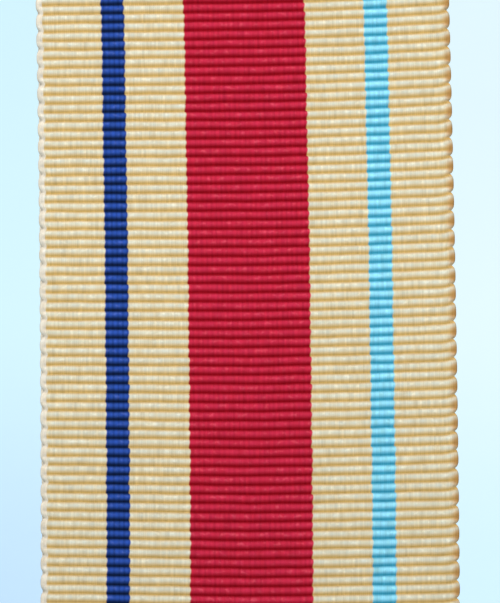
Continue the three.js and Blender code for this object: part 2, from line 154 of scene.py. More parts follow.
class MedalStageSettings(bpy.types.PropertyGroup):
    """The camera, the lights and the paper"""

    lens: FloatProperty(name="Lens", description="Focal length in mm", default=150, min=20)
    view_height: length("View height", 46.7 * MM, "Height of the view at the ribbon")
    tilt: FloatProperty(
        name="Tilt", description="How far the camera looks up", default=math.radians(3.5),
        subtype="ANGLE")
    roll: FloatProperty(
        name="Roll", description="Turn of the camera about its own line",
        default=math.radians(-0.75), subtype="ANGLE")
    paper: colour("Paper", (0.26, 0.31, 0.33), "Floor and backdrop")
    glow: colour("Glow", (0.51, 0.725, 0.80), "Light that the backdrop gives")
    glow_right: colour("Glow, right", (0.63, 0.76, 0.80), "The same to the right")
    distance: colour("Distance", (0.66, 0.87, 0.95), "What the floor fades to far away")
    key: FloatProperty(name="Key light", description="Watts", default=7.2, min=0)
    fill: FloatProperty(name="Fill light", description="Watts", default=3.6, min=0)


# --------------------------------------------------------------------------- node trees


class Formula:
    """A value in a node tree. Arithmetic on it adds Math nodes."""

    def __init__(self, builder, socket):
        self.builder = builder
        self.socket = socket

    def __add__(self, other):
        return self.builder.math("ADD", self, other)

    def __radd__(self, other):
        return self.builder.math("ADD", other, self)

    def __sub__(self, other):
        return self.builder.math("SUBTRACT", self, other)

    def __rsub__(self, other):
        return self.builder.math("SUBTRACT", other, self)

    def __mul__(self, other):
        return self.builder.math("MULTIPLY", self, other)

    def __rmul__(self, other):
        return self.builder.math("MULTIPLY", other, self)

    def __truediv__(self, other):
        return self.builder.math("DIVIDE", self, other)

    def __pow__(self, other):
        return self.builder.math("POWER", self, other)

    def __abs__(self):
        return self.builder.math("ABSOLUTE", self)

    def above(self, limit):
        return self.builder.math("GREATER_THAN", self, limit)

    def at_least(self, limit):
        return self.builder.math("MAXIMUM", self, limit)

    def at_most(self, limit):
        return self.builder.math("MINIMUM", self, limit)

    def fraction(self):
        return self.builder.math("FRACT", self)

    def floor(self):
        return self.builder.math("FLOOR", self)

    def ramp(self, start, end):
        """0 before start, 1 after end, smooth between. Start may be the larger."""
        return self.builder.remap(self, start, end, smooth=True)


class Builder:
    """Short calls that add and link the nodes of one tree."""

    def __init__(self, tree):
        self.tree = tree

    def feed(self, socket, value):
        """Links a value to a socket, or sets the socket to a plain value."""
        if isinstance(value, Formula):
            value = value.socket
        if isinstance(value, bpy.types.NodeSocket):
            self.tree.links.new(value, socket)
        else:
            socket.default_value = value

    def node(self, kind, inputs=None, **settings):
        """A new node, its inputs fed by name or number."""
        made = self.tree.nodes.new(kind)
        for name, value in settings.items():
            setattr(made, name, value)
        for key, value in (inputs or {}).items():
            self.feed(made.inputs[key], value)
        return made

    def value(self, kind, inputs=None, output=0, **settings):
        """One output of a new node."""
        return Formula(self, self.node(kind, inputs, **settings).outputs[output])

    def math(self, operation, *values):
        return self.value("ShaderNodeMath", dict(enumerate(values)), operation=operation)

    def remap(self, value, start, end, low=0.0, high=1.0, smooth=False):
        shape = "SMOOTHSTEP" if smooth else "LINEAR"
        ends = {"Value": value, "From Min": start, "From Max": end, "To Min": low, "To Max": high}
        return self.value("ShaderNodeMapRange", ends, interpolation_type=shape)

    def mix(self, factor, first, second):
        """A value between two values."""
        return first + (second - first) * factor

    def blend(self, factor, first, second, how="MIX"):
        """A colour between two colours."""
        inputs = {0: factor, 6: first, 7: second}
        return self.value("ShaderNodeMix", inputs, 2, data_type="RGBA", blend_type=how)

    def vector(self, x, y, z):
        """A vector from its three parts."""
        return self.value("ShaderNodeCombineXYZ", {0: x, 1: y, 2: z})

    def parts(self, vector):
        """A vector's x, y and z."""
        split = self.node("ShaderNodeSeparateXYZ", {0: vector})
        return [Formula(self, socket) for socket in split.outputs]

    def noise(self, vector, scale, detail=2.0, roughness=0.5):
        inputs = {"Vector": vector, "Scale": scale, "Detail": detail, "Roughness": roughness}
        return self.value("ShaderNodeTexNoise", inputs)

    def random(self, vector):
        return self.value("ShaderNodeTexWhiteNoise", {"Vector": vector})

    def bump(self, height, distance, strength=1.0):
        inputs = {"Height": height, "Distance": distance, "Strength": strength}
        return self.value("ShaderNodeBump", inputs)

    def point(self):
        """The place on the object itself."""
        return self.value("ShaderNodeTexCoord", output="Object")

    def shape(self, holder):
        """The geometry of another object."""
        return self.value("GeometryNodeObjectInfo", {"Object": holder}, "Geometry")

    def spaced(self, path, distance):
        """Points along a path, a distance apart."""
        return self.value(
            "GeometryNodeResampleCurve", {"Curve": path, "Length": distance}, mode="LENGTH")

    def sum_of(self, first, second):
        """Two vectors added."""
        return self.value("ShaderNodeVectorMath", {0: first, 1: second}, operation="ADD")

    def scaled(self, vector, factor):
        """A vector times a number."""
        return self.value("ShaderNodeVectorMath", {0: vector, "Scale": factor}, operation="SCALE")

    def leaning(self, outward, tangent, angle):
        """A rotation that sets z outward and x along the tangent, then turns about z."""
        along = self.value(
            "FunctionNodeAxesToRotation", {"Primary Axis": outward, "Secondary Axis": tangent},
            primary_axis="Z", secondary_axis="X")
        lean = self.value("FunctionNodeAxisAngleToRotation", {"Axis": (0, 0, 1), "Angle": angle})
        return self.value(
            "FunctionNodeRotateRotation", {"Rotation": along, "Rotate By": lean},
            rotation_space="LOCAL")


SOCKET_KINDS = {
    int: "NodeSocketInt",
    float: "NodeSocketFloat",
    tuple: "NodeSocketVector",
    bpy.types.Object: "NodeSocketObject",
    bpy.types.Material: "NodeSocketMaterial",
}


def add_inputs(tree, values):
    """One named input for each value, with the value as its default."""
    for name, value in values.items():
        kind = SOCKET_KINDS[type(value)]
        socket = tree.interface.new_socket(name=name, in_out="INPUT", socket_type=kind)
        socket.default_value = value


def grown(name, plan, values):
    """The plain mesh that a Geometry Nodes tree makes. plan(builder, given) returns the
    tree's last geometry, and values are the tree's named inputs, Material among them."""
    tree = bpy.data.node_groups.new(name, "GeometryNodeTree")
    add_inputs(tree, values)
    tree.interface.new_socket(
        name="Geometry", in_out="OUTPUT", socket_type="NodeSocketGeometry")
    builder = Builder(tree)
    group_input = tree.nodes.new("NodeGroupInput")
    given = {key: Formula(builder, group_input.outputs[key]) for key in values}
    result = plan(builder, given)
    realised = builder.value("GeometryNodeRealizeInstances", {"Geometry": result})
    finish = {"Geometry": realised, "Material": given["Material"]}
    painted = builder.value("GeometryNodeSetMaterial", finish)
    builder.node("NodeGroupOutput", {"Geometry": painted})

    host = bpy.data.objects.new(name, bpy.data.meshes.new(name))
    bpy.context.scene.collection.objects.link(host)
    modifier = host.modifiers.new(name, "NODES")
    modifier.node_group = tree
    for item in tree.interface.items_tree:
        if item.in_out == "INPUT":
            modifier[item.identifier] = values[item.name]
    depsgraph = bpy.context.evaluated_depsgraph_get()
    mesh = bpy.data.meshes.new_from_object(
        host.evaluated_get(depsgraph), preserve_all_data_layers=True, depsgraph=depsgraph)
    host.modifiers.remove(modifier)
    bpy.data.objects.remove(host)
    mesh.materials.clear()
    mesh.materials.append(values["Material"])
    return mesh


def shader_group(name, values, outputs, plan):
    """A shader node group. plan(builder, given) returns its outputs in order."""
    tree = bpy.data.node_groups.new(name, "ShaderNodeTree")
    add_inputs(tree, values)
    for output in outputs:
        tree.interface.new_socket(name=output, in_out="OUTPUT", socket_type="NodeSocketFloat")
    builder = Builder(tree)
    group_input = tree.nodes.new("NodeGroupInput")
    given = {key: Formula(builder, group_input.outputs[key]) for key in values}
    group_output = tree.nodes.new("NodeGroupOutput")
    for output, result in zip(outputs, plan(builder, given), strict=True):
        builder.feed(group_output.inputs[output], result)
    return tree


def use_group(builder, tree, **inputs):
    """Places a shader group and returns its outputs by name."""
    placed = builder.node("ShaderNodeGroup", node_tree=tree)
    for name, value in inputs.items():
        builder.feed(placed.inputs[name.replace("_", " ")], value)
    return {socket.name: Formula(builder, socket) for socket in placed.outputs}


# --------------------------------------------------------------------------- mesh helpers


def linked(name, data):
    """A new object of its data, in the scene."""
    made = bpy.data.objects.new(name, data)
    bpy.context.scene.collection.objects.link(made)
    return made


def arc(centre_x, centre_y, radius, start, end, steps=12):
    """Points on an arc, angles in degrees."""
    points = []
    for step in range(steps + 1):
        angle = math.radians(start + (end - start) * step / steps)
        points.append((centre_x + radius * math.cos(angle), centre_y + radius * math.sin(angle)))
    return points


def cubic(p0, p1, p2, p3, steps=16):
    """Points on a cubic curve, without its first."""
    points = []
    for step in range(1, steps + 1):
        t = step / steps
        weights = ((1 - t) ** 3, 3 * t * (1 - t) ** 2, 3 * t * t * (1 - t), t ** 3)
        corners = (p0, p1, p2, p3)
        points.append(tuple(
            sum(w * corner[axis] for w, corner in zip(weights, corners, strict=True))
            for axis in (0, 1)))
    return points


def mirrored(points):
    """The outline's right half followed by its left half."""
    return points + [(-x, y) for x, y in reversed(points) if abs(x) > 1e-7]


def rounded_box(half_x, low_y, high_y, corner, steps):
    """A rectangle with round corners, its middle on x = 0."""
    return mirrored(
        arc(half_x - corner, low_y + corner, corner, -90, 0, steps)
        + arc(half_x - corner, high_y - corner, corner, 0, 90, steps))


def both_ways(lower):
    """A profile's lower half followed by its upper half, mirrored about height 0."""
    return lower + [(radius, -height) for radius, height in reversed(lower)]


def rod(radius, start, end):
    """The profile of a plain round rod."""
    return [(0, start), (radius, start), (radius, end), (0, end)]


def facing_out(made, mesh):
    """Writes a bmesh into a mesh, with every face turned outward."""
    bmesh.ops.recalc_face_normals(made, faces=made.faces)
    made.to_mesh(mesh)
    made.free()
    return mesh


def bridge(made, lower, upper, count):
    """Faces round two rings of count points. Either ring may be a single point."""
    for i in range(count):
        j = (i + 1) % count
        corners = [lower[i % len(lower)], lower[j % len(lower)],
                   upper[j % len(upper)], upper[i % len(upper)]]
        made.faces.new(list(dict.fromkeys(corners)))


def slab(loops, thickness, bevel, place):
    """A plate with rounded edges, from outlines in its own x and y, centred on z = 0."""
    curve = bpy.data.curves.new("outline", "CURVE")
    curve.dimensions = "2D"
    curve.fill_mode = "BOTH"
    curve.extrude = thickness / 2 - bevel
    curve.bevel_depth = bevel
    curve.bevel_resolution = 2
    curve.offset = -bevel
    for loop in loops:
        spline = curve.splines.new("POLY")
        spline.points.add(len(loop) - 1)
        for point, (x, y) in zip(spline.points, loop, strict=True):
            point.co = (x, y, 0, 1)
        spline.use_cyclic_u = True
    holder = linked("outline", curve)
    depsgraph = bpy.context.evaluated_depsgraph_get()
    mesh = bpy.data.meshes.new_from_object(holder.evaluated_get(depsgraph))
    bpy.data.objects.remove(holder)
    mesh.transform(place)
    made = bmesh.new()
    made.from_mesh(mesh)
    bmesh.ops.remove_doubles(made, verts=made.verts, dist=2e-6)
    bmesh.ops.dissolve_degenerate(made, edges=made.edges, dist=1e-6)
    return facing_out(made, mesh)


def revolved(profile, segments, place, closed=False):
    """A solid turned about z from (radius, height) points. The profile starts and ends on
    the axis, or with closed set it is a loop clear of it."""
    made = bmesh.new()
    rings = []
    for radius, height in profile:
        count = segments if radius > 1e-9 else 1
        rings.append([
            made.verts.new((
                radius * math.cos(FULL_TURN * i / segments),
                radius * math.sin(FULL_TURN * i / segments),
                height))
            for i in range(count)])
    pairs = list(zip(rings, rings[1:] + rings[:1], strict=True))
    for lower, upper in pairs if closed else pairs[:-1]:
        bridge(made, lower, upper, segments)
    mesh = facing_out(made, bpy.data.meshes.new("turned"))
    mesh.transform(place)
    return mesh


def leaf_mesh(leaf_length, width, height):
    """A pointed leaf lying along x with a ridge down its middle, sunk a little below z = 0."""
    stations = 9
    section = (  # place across and rise, as shares of the half width and the height
        (-1, 0), (-0.55, 0.72), (-0.12, 0.82), (0, 1.0), (0.12, 0.82), (0.55, 0.72), (1, 0))
    made = bmesh.new()
    rows = []
    for i in range(1, stations):
        t = i / stations
        swell = math.sin(math.pi * t ** 0.8) ** 0.75
        arch = math.sin(math.pi * min(1, 0.12 + t)) ** 0.5
        rows.append([
            made.verts.new((leaf_length * t, across * swell * width / 2, rise * height * arch))
            for across, rise in section])
    root = made.verts.new((0, 0, 0))
    tip = made.verts.new((leaf_length, 0, 0))
    for k in range(len(section) - 1):
        made.faces.new((root, rows[0][k], rows[0][k + 1]))
        for before, after in zip(rows, rows[1:], strict=False):
            made.faces.new((before[k], after[k], after[k + 1], before[k + 1]))
        made.faces.new((tip, rows[-1][k + 1], rows[-1][k]))
    rim = [root] + [row[0] for row in rows] + [tip] + [row[-1] for row in reversed(rows)]
    sunk = Vector((0, 0, -0.25 * height))
    floor = [made.verts.new(corner.co + sunk) for corner in rim]
    bridge(made, floor, rim, len(rim))
    made.faces.new(floor)
    return facing_out(made, bpy.data.meshes.new("leaf"))


def star_mesh(radius, height):
    """A faceted five-pointed star facing +z, sunk below z = 0, with one point along +y."""
    corners = 10
    made = bmesh.new()
    top = [made.verts.new((0, 0, height))]
    ridge, foot = [], []
    for i in range(corners):
        angle = math.pi / 2 + FULL_TURN * i / corners
        share, rise = (0.40, 0.12) if i % 2 else (1.0, 0.3)  # a notch, or a point
        x, y = radius * share * math.cos(angle), radius * share * math.sin(angle)
        ridge.append(made.verts.new((x, y, height * rise)))
        foot.append(made.verts.new((x, y, -height * 0.5)))
    bridge(made, ridge, top, corners)
    bridge(made, foot, ridge, corners)
    made.faces.new(foot)
    for edge in made.edges:
        edge.smooth = False
    return facing_out(made, bpy.data.meshes.new("star"))


def cut(mesh, *tools):
    """The mesh with the tools' volumes taken away."""
    body = linked("body", mesh)
    cutters = []
    for tool in tools:
        cutter = linked("tool", tool)
        cutter.hide_render = True
        cutters.append(cutter)
        modifier = body.modifiers.new("cut", "BOOLEAN")
        modifier.object = cutter
        modifier.operation = "DIFFERENCE"
        modifier.solver = "EXACT"
    depsgraph = bpy.context.evaluated_depsgraph_get()
    result = bpy.data.meshes.new_from_object(body.evaluated_get(depsgraph))
    for leftover in [body, *cutters]:
        bpy.data.objects.remove(leftover)
    return result


def settle_normals(made):
    """Lets the large flat faces set the shading, so that rounded edges do not bend it."""
    weighted = made.modifiers.new("normals", "WEIGHTED_NORMAL")
    weighted.keep_sharp = True
    depsgraph = bpy.context.evaluated_depsgraph_get()
    mesh = bpy.data.meshes.new_from_object(
        made.evaluated_get(depsgraph), preserve_all_data_layers=True, depsgraph=depsgraph)
    made.modifiers.remove(weighted)
    made.data = mesh


def piece(name, body, node, material, parts, sharp=38.0):
    """One finished object from its parts, riding on a body in place of a CAD node. Edges
    that bend by more than sharp degrees are kept crisp."""
    joined = bmesh.new()
    for part in parts:
        joined.from_mesh(part)
        bpy.data.meshes.remove(part)
    for edge in joined.edges:
        if len(edge.link_faces) != 2 or edge.calc_face_angle() > math.radians(sharp):
            edge.smooth = False
    for face in joined.faces:
        face.smooth = True
    mesh = bpy.data.meshes.new(name)
    joined.to_mesh(mesh)
    joined.free()
    mesh.materials.append(material)
    made = linked(name, mesh)
    settle_normals(made)
    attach(made, body)
    if node:
        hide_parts(node)
    return made


def shifted(x=0.0, y=0.0, z=0.0):
    """A plain move."""
    return Matrix.Translation((x, y, z))


# --------------------------------------------------------------------------- materials


def new_material(name, **constants):
    """A material, its builder and its shader. Constants go on the shader's own sockets."""
    material = bpy.data.materials.new(name)
    material.use_nodes = True
    builder = Builder(material.node_tree)
    shader = material.node_tree.nodes["Principled BSDF"]
    for socket, value in constants.items():
        shader.inputs[socket.replace("_", " ")].default_value = value
    return material, builder, shader


def opaque(rgb):
    """A colour with its alpha."""
    return (*rgb, 1.0)


def stripe_plan(_, given):
    """How much of a stripe shows at a place across the ribbon, with a soft woven edge."""
    place = given["Across"]
    start = (place - given["Left"]).ramp(-0.5 * given["Softness"], 0.5 * given["Softness"])
    end = (given["Right"] - place).ramp(-0.5 * given["Softness"], 0.5 * given["Softness"])
    return [start * end]


def metal_wear_plan(builder, given):
    """Tone that gathers in low places, fine scratches, and the grain of a die-struck face."""
    point = builder.point()
    blotch = builder.noise(point, given["Blotch Scale"], 4.0, 0.6)
    fine = builder.noise(point, given["Grain Scale"], 3.0, 0.6)
    stretched = builder.value(
        "ShaderNodeMapping",
        {"Vector": point, "Rotation": (0.3, 0.5, 0.4), "Scale": (0.05, 1, 1)})
    scratch = builder.noise(stretched, given["Grain Scale"] * 1.6, 1.0, 0.5).ramp(0.66, 0.78)
    low = 1.0 - given["Height"].ramp(0.05, 0.75)
    tone = (low * 0.85 + (blotch - 0.5) * given["Blotch"]).at_least(0.0).at_most(1.0)
    return [tone, scratch, fine]


def metal_wear():
    """The group that every metal shares, made once."""
    values = {"Height": 0.0, "Blotch Scale": 120.0, "Grain Scale": 5000.0, "Blotch": 0.8}
    outputs = ["Tone", "Scratch", "Grain"]
    found = bpy.data.node_groups.get("Metal wear")
    return found or shader_group("Metal wear", values, outputs, metal_wear_plan)


def ribbon_material(settings):
    """Corded rayon: stripes from the place across in mm, ribs from the count along. The highlight
    and shade on the ribs and selvedges, and the glints, are painted.
    """
    material, b, shader = new_material("corded_rayon", Specular_IOR_Level=0.03)
    across = b.value("ShaderNodeAttribute", output="Fac", attribute_name="across_mm")
    ribs = b.value("ShaderNodeAttribute", output="Fac", attribute_name="rib_count")
    rib_number = ribs.floor()
    _, y, z = b.parts(b.point())
    # Counted downward on both faces, so that the painted highlight sits on each rib's upper side
    # and the painted shade below it, as for light from above
    downward = ribs * (1.0 - y.above(LOOP_Y) * 2.0)  # behind, the count falls on the way down
    in_rib = (downward + 0.10).fraction()
    crest = 0.5 - b.math("COSINE", in_rib ** 0.74 * FULL_TURN) * 0.5  # 1 on a rib, 0 in a valley: painted highlight to painted shade
    yarn = 0.155  # mm
    threads = across / yarn
    cell = b.random(b.vector(threads.floor(), rib_number, 0.0))
    thread = abs(b.math("SINE", threads * math.pi))
    strand = abs(b.math("SINE", threads * (0.4 * math.pi)))
    fleck = b.noise(b.vector(across * 2.6, rib_number * 7.3, 0.0), 1.0, 3.0, 0.7)
    drift = b.noise(b.vector(across * 0.9, ribs * 0.6, 4.0), 1.0, 2.0)

    ragged = b.random(b.vector(rib_number, 3.0, 1.0)) - 0.5
    edge = across + (crest - 0.5) * -0.08 + ragged * 0.08
    values = {"Across": 0.0, "Left": -1.0, "Right": 1.0, "Softness": 0.1}
    stripe = shader_group("Woven stripe", values, ["Mask"], stripe_plan)
    stripes = (  # left and right edge, colour on a rib and painted shade in a valley, depth of single strands
        (-11.05, -9.26, settings.dark, settings.dark_valley_shade, 0.28),
        (-4.61, 4.84, settings.red, settings.red_valley_shade, 0.10),
        (9.44, 11.25, settings.light, settings.light_valley_shade, 0.02),
    )
    high, low = opaque(settings.buff), opaque(settings.buff_valley_shade)
    strands = 0.03  # depth of single strands in the buff
    for left, right, on_rib, in_valley, strand_depth in stripes:
        mask = use_group(b, stripe, Across=edge, Left=left, Right=right, Softness=0.14)["Mask"]
        strands = mask * strand_depth + strands
        high = b.blend(mask, high, opaque(on_rib))
        low = b.blend(mask, low, opaque(in_valley))
    # Painted highlight on the crests, painted shade in the valleys
    woven = b.blend(crest, low, high)

    # The left selvedge is a smooth cord, nipped in at every second rib. Its pale colour is a
    # painted highlight, as on the side that faces the light, and the nips get painted shade
    half = settings.width / 2 / MM
    pair = abs((ribs * 0.5 + LEFT_LOOP_SHIFT).fraction() * 2.0 - 1.0) ** 6.0
    lit_cord = (across + half).ramp(0.56, 0.42)
    nip_shade = pair * (across + half).ramp(0.30, 0.05)
    # Near black in each nip: painted shade
    pale = b.blend(nip_shade * 0.62, opaque(settings.lit_cord), opaque((0.20, 0.18, 0.16)))
    edged = b.blend(lit_cord * (0.96 - crest * 0.1), woven, pale)

    # The right one turns back in loops, with painted shade along its edge that is deepest on the
    # loops' undersides, as on the side away from the light
    underside = ribs * 0.5 + RIGHT_LOOP_SHIFT - 0.62
    under = b.math("COSINE", underside * FULL_TURN) * 0.5 + 0.5
    loops = (half - across).ramp(0.75, 0.15) * (0.15 + under * 0.85)
    lit = b.blend(loops, edged, opaque(settings.loop_shade))

    # Yarns differ in tone, and painted glints brighten a few places on the ribs
    spots = b.vector(across * 2.0, ribs * 1.6 + rib_number * 4.1, 6.0)
    painted_glint = b.noise(spots, 1.0, 2.0).ramp(0.48, 0.78) * crest ** 2.0
    level = 0.94 + (fleck - 0.5) * 0.52 + (cell - 0.5) * 0.09 + (drift - 0.5) * 0.16
    # The thread term lightens each warp thread's middle: painted shade between the threads
    level = level + (strand - 0.64) * strands + thread * 0.03 + painted_glint * 0.22
    lower_painted_shade = z.ramp(BROOCH_RAIL.z - 16.5 * MM, SUSPENDER_RAIL.z)  # painted shade, darker towards the foot
    level = level * (1.0 - lower_painted_shade * 0.10)
    cool = (b.noise(b.vector(across * 1.9, rib_number * 3.1, 9.0), 1.0, 2.0) - 0.5) * 0.45 * crest
    tint = b.vector(level, level * (1.0 + cool * 0.5), level * (1.0 + cool * 1.3))
    varied = b.blend(1.0, lit, tint, "MULTIPLY")
    # The glint term also whitens the colour a little: a painted highlight
    b.feed(shader.inputs["Base Color"], b.blend(painted_glint * 0.035, varied, opaque((1.0, 0.90, 0.95))))
    b.feed(shader.inputs["Roughness"], 0.74 - painted_glint * 0.2 - (cell - 0.5) * 0.15)
    height = thread * 0.6 + cell * 0.4
    b.feed(shader.inputs["Normal"], b.bump(height, 0.02 * MM, 0.5))
    return material


def thread_material():
    """Buff sewing cotton, twisted, with painted shade in the grooves between its plies."""
    material, b, shader = new_material(
        "sewing_thread", Sheen_Weight=0.2, Sheen_Roughness=0.5, Specular_IOR_Level=0.3)
    turned = b.value("ShaderNodeMapping", {"Vector": b.point(), "Rotation": (0, 0.6, 0)})
    x, _, _ = b.parts(turned)
    ply = 0.09 * MM
    twist = abs(b.math("SINE", x * (math.pi / ply)))
    # Darker in the grooves between the plies: painted shade
    tone = b.blend(twist, opaque((0.36, 0.27, 0.15)), opaque((0.66, 0.55, 0.36)))
    b.feed(shader.inputs["Base Color"], tone)
    b.feed(shader.inputs["Roughness"], 0.9 - twist * 0.2)
    b.feed(shader.inputs["Normal"], b.bump(twist, 0.02 * MM))
    return material


def relief_metal(name, bright, toned, roughness, middle, low, high):
    """Struck metal, darker low down in its relief. low and high are distances from the
    middle plane, so both faces of a struck piece tone alike."""
    material, b, shader = new_material(name, Metallic=1.0)
    _, y, _ = b.parts(b.point())
    height = b.remap(abs(y - middle), low, high)
    wear = use_group(b, metal_wear(), Height=height)
    tone = b.blend(wear["Tone"], opaque(bright), opaque(toned))
    rubbed = b.blend(wear["Scratch"] * 0.25, tone, opaque([c * 1.25 for c in bright]))
    b.feed(shader.inputs["Base Color"], rubbed)
    rough = roughness + wear["Tone"] * 0.16 + (wear["Grain"] - 0.5) * 0.12
    b.feed(shader.inputs["Roughness"], rough)
    marks = wear["Grain"] * 0.8 - wear["Scratch"] * 0.5
    b.feed(shader.inputs["Normal"], b.bump(marks, 0.008 * MM, 0.5))
    return material


def plated_metal(name, tint, roughness):
    """Plated or drawn metal with fine lines along x."""
    material, b, shader = new_material(name, Metallic=1.0)
    along = b.value("ShaderNodeMapping", {"Vector": b.point(), "Scale": (0.04, 1, 1)})
    lines = b.noise(along, 9000.0, 2.0, 0.6)
    wear = use_group(b, metal_wear(), Height=0.6, Blotch=0.9)
    dull = b.blend(wear["Tone"] * 0.55, opaque(tint), opaque([c * 0.55 for c in tint]))
    b.feed(shader.inputs["Base Color"], dull)
    b.feed(shader.inputs["Roughness"], roughness + wear["Tone"] * 0.2 + (lines - 0.5) * 0.15)
    b.feed(shader.inputs["Normal"], b.bump(lines, 0.004 * MM, 0.4))
    return material


def bronze_material(settings):
    """The medal, claw, post and suspender share one struck bronze."""
    found = bpy.data.materials.get("struck_bronze")
    return found or relief_metal(
        "struck_bronze", settings.bronze, settings.bronze_toned, 0.30, LOOP_Y,
        0.75 * MM, 1.25 * MM)


# --------------------------------------------------------------------------- ribbon


def loop_radius(settings):
    """From a rail's axis to the middle of the ribbon's thickness."""
    slack = 0.1 * MM
    return RAIL_RADIUS + slack + settings.thickness / 2


TURN_STEPS = 48  # straight stretches in the ribbon's turn round a rail


def ribbon_path(settings):
    """The strip's middle line in (y, z), from its hidden end up over the brooch's rail, down
    the front, under the suspender's rail and up over its own start."""
    radius = loop_radius(settings)
    top, foot = BROOCH_RAIL.z, SUSPENDER_RAIL.z
    lap_top = top - settings.lap_top
    lap_foot = lap_top - settings.lap
    outside = radius + settings.thickness
    points = [(LOOP_Y + radius, lap_foot)]
    points += arc(LOOP_Y, top, radius, 0, 180, TURN_STEPS)
    points += arc(LOOP_Y, foot, radius, 180, 360, TURN_STEPS)
    step_start = (LOOP_Y + radius, lap_foot - 2.4 * MM)
    step_end = (LOOP_Y + outside, lap_foot - 0.2 * MM)
    points.append(step_start)
    points += cubic(
        step_start, (step_start[0], step_start[1] + 1 * MM),
        (step_end[0], step_end[1] - 1 * MM), step_end, 12)
    points.append((LOOP_Y + outside, lap_top))
    return points


def path_length(points):
    """The length of straight stretches through points."""
    return sum(math.dist(a, b) for a, b in zip(points, points[1:], strict=False))


def ribbon_plan(b, given):
    """A closed strip, ribbed on both faces. A unit grid is wrapped round the strip's section
    in x and laid along the path in y."""
    rows = given["Ribs"] * given["Rows Per Rib"]
    columns = given["Columns"]
    strip = b.value("GeometryNodeMeshGrid", {
        "Size X": 1.0, "Size Y": 1.0, "Vertices X": columns + 1, "Vertices Y": rows + 1})
    x, y, _ = b.parts(b.value("GeometryNodeInputPosition"))
    around = x + 0.5
    along = y + 0.5
    ribs = along * given["Ribs"]
    run = along * given["Length"]

    # Place across: -1 at the left selvedge, 1 at the right one, on both faces
    share = 1.0 - abs(around * 2.0 - 1.0)
    across = b.math("COSINE", share * math.pi) * -1.0
    outer_face = 1.0 - around.above(0.5) * 2.0
    from_edge = (1.0 - abs(across)) * given["Width"] * 0.5
    half_round = (1.0 - (from_edge / (given["Thickness"] * 0.5)).at_most(1.0)) ** 2.0
    section = b.math("SQRT", 1.0 - half_round)

    # Ribs, and at the selvedges loops that take two ribs each, offset left from right
    right_side = across.above(0.0)
    in_rib = ribs.fraction()
    loops = ribs * 0.5 + b.mix(right_side, LEFT_LOOP_SHIFT, RIGHT_LOOP_SHIFT)
    in_loop = loops.fraction()
    rib = 1.0 - abs(in_rib * 2.0 - 1.0) ** 2.4  # a round back and a narrow valley
    loop = 1.0 - abs(in_loop * 2.0 - 1.0) ** 3.0  # broader still
    selvedge_width = given["Selvedge"] * (1.0 - right_side * 0.5)
    selvedge = from_edge.ramp(selvedge_width, selvedge_width * 0.4)
    swell = 0.88 + b.noise(b.vector(across * 9.0, ribs * 0.9, given["Seed"]), 1.0) * 0.24
    height = b.mix(selvedge, rib * swell, loop)
    half = given["Core"] * 0.5 + height * (given["Thickness"] - given["Core"]) * 0.5
    after_start = (along * rows).above(0.5)
    before_end = ((1.0 - along) * rows).above(0.5)
    out = outer_face * section * half * after_start * before_end  # the two cut ends are shut

    # The ribs run across in a shallow bow, and wander a little
    down = b.remap(run, given["Front Start"], given["Front End"])
    right_rise = b.mix(down, given["Right Rise Top"], given["Right Rise Foot"])
    left_rise = b.mix(down, given["Left Rise Top"], given["Left Rise Foot"])
    bow = across.at_least(0.0) ** 2.0 * right_rise + (across * -1.0).at_least(0.0) * left_rise
    wander = b.noise(b.vector(across * 7.0, ribs * 0.45, given["Seed"] + 9.0), 1.0, 3.0) - 0.5
    # Near the right selvedge each loop hooks up
    lift = b.math("COSINE", (in_loop - 0.25) * FULL_TURN) * 0.4 + 0.6
    hook = right_side * from_edge.ramp(1.1 * MM, 0.15 * MM) * lift * given["Hook"]
    place = run - bow - hook + wander * given["Wander"]
    on_path = {
        "Curves": b.shape(given["Path"]), "Length": place.at_least(0.0).at_most(given["Length"])}
    sampled = b.node("GeometryNodeSampleCurve", on_path, mode="LENGTH", use_all_curves=True)
    centre = sampled.outputs["Position"]
    _, tangent_y, tangent_z = b.parts(sampled.outputs["Tangent"])
    outward = b.vector(0.0, tangent_z, tangent_y * -1.0)

    # The selvedges are nipped in between loops, by more at some than at others
    uneven = b.noise(b.vector(right_side * 5.0, loops * 0.9, given["Seed"] + 3.0), 1.0)
    depth = given["Notch"] * (uneven * 1.8 + 0.1)
    notch = (1.0 - loop) * depth * from_edge.ramp(1.2 * MM, 0.0)
    side = right_side * 2.0 - 1.0
    sway = down * (1.0 - down) * 4.0 * given["Sway"]
    sideways = across * given["Width"] * 0.5 - side * notch + sway
    surface = b.sum_of(centre, b.scaled(outward, out))
    position = b.sum_of(surface, b.vector(sideways, 0.0, 0.0))

    for name, value in (("across_mm", across * given["Width"] * 0.5 / MM), ("rib_count", ribs)):
        store = {"Geometry": strip, "Name": name, "Value": value}
        strip = b.value(
            "GeometryNodeStoreNamedAttribute", store, data_type="FLOAT", domain="POINT")
    moved = b.value("GeometryNodeSetPosition", {"Geometry": strip, "Position": position})
    return b.value("GeometryNodeMergeByDistance", {"Geometry": moved, "Distance": 1e-6})


def stitch_plan(b, given):
    """A row of slanting stitches along a path, each a short arc of thread."""
    jitter = b.random(b.vector(b.value("GeometryNodeInputIndex"), given["Seed"], 0.0)) - 0.5
    lean = given["Lean"] + jitter * given["Lean Jitter"]
    return b.value("GeometryNodeInstanceOnPoints", {
        "Points": b.spaced(b.shape(given["Path"]), given["Spacing"]),
        "Instance": b.shape(given["Stitch"]),
        "Rotation": b.leaning(given["Outward"], b.value("GeometryNodeInputTangent"), lean),
        "Scale": b.vector(1.0 + jitter * 0.2, 1.0, 1.0),
    })


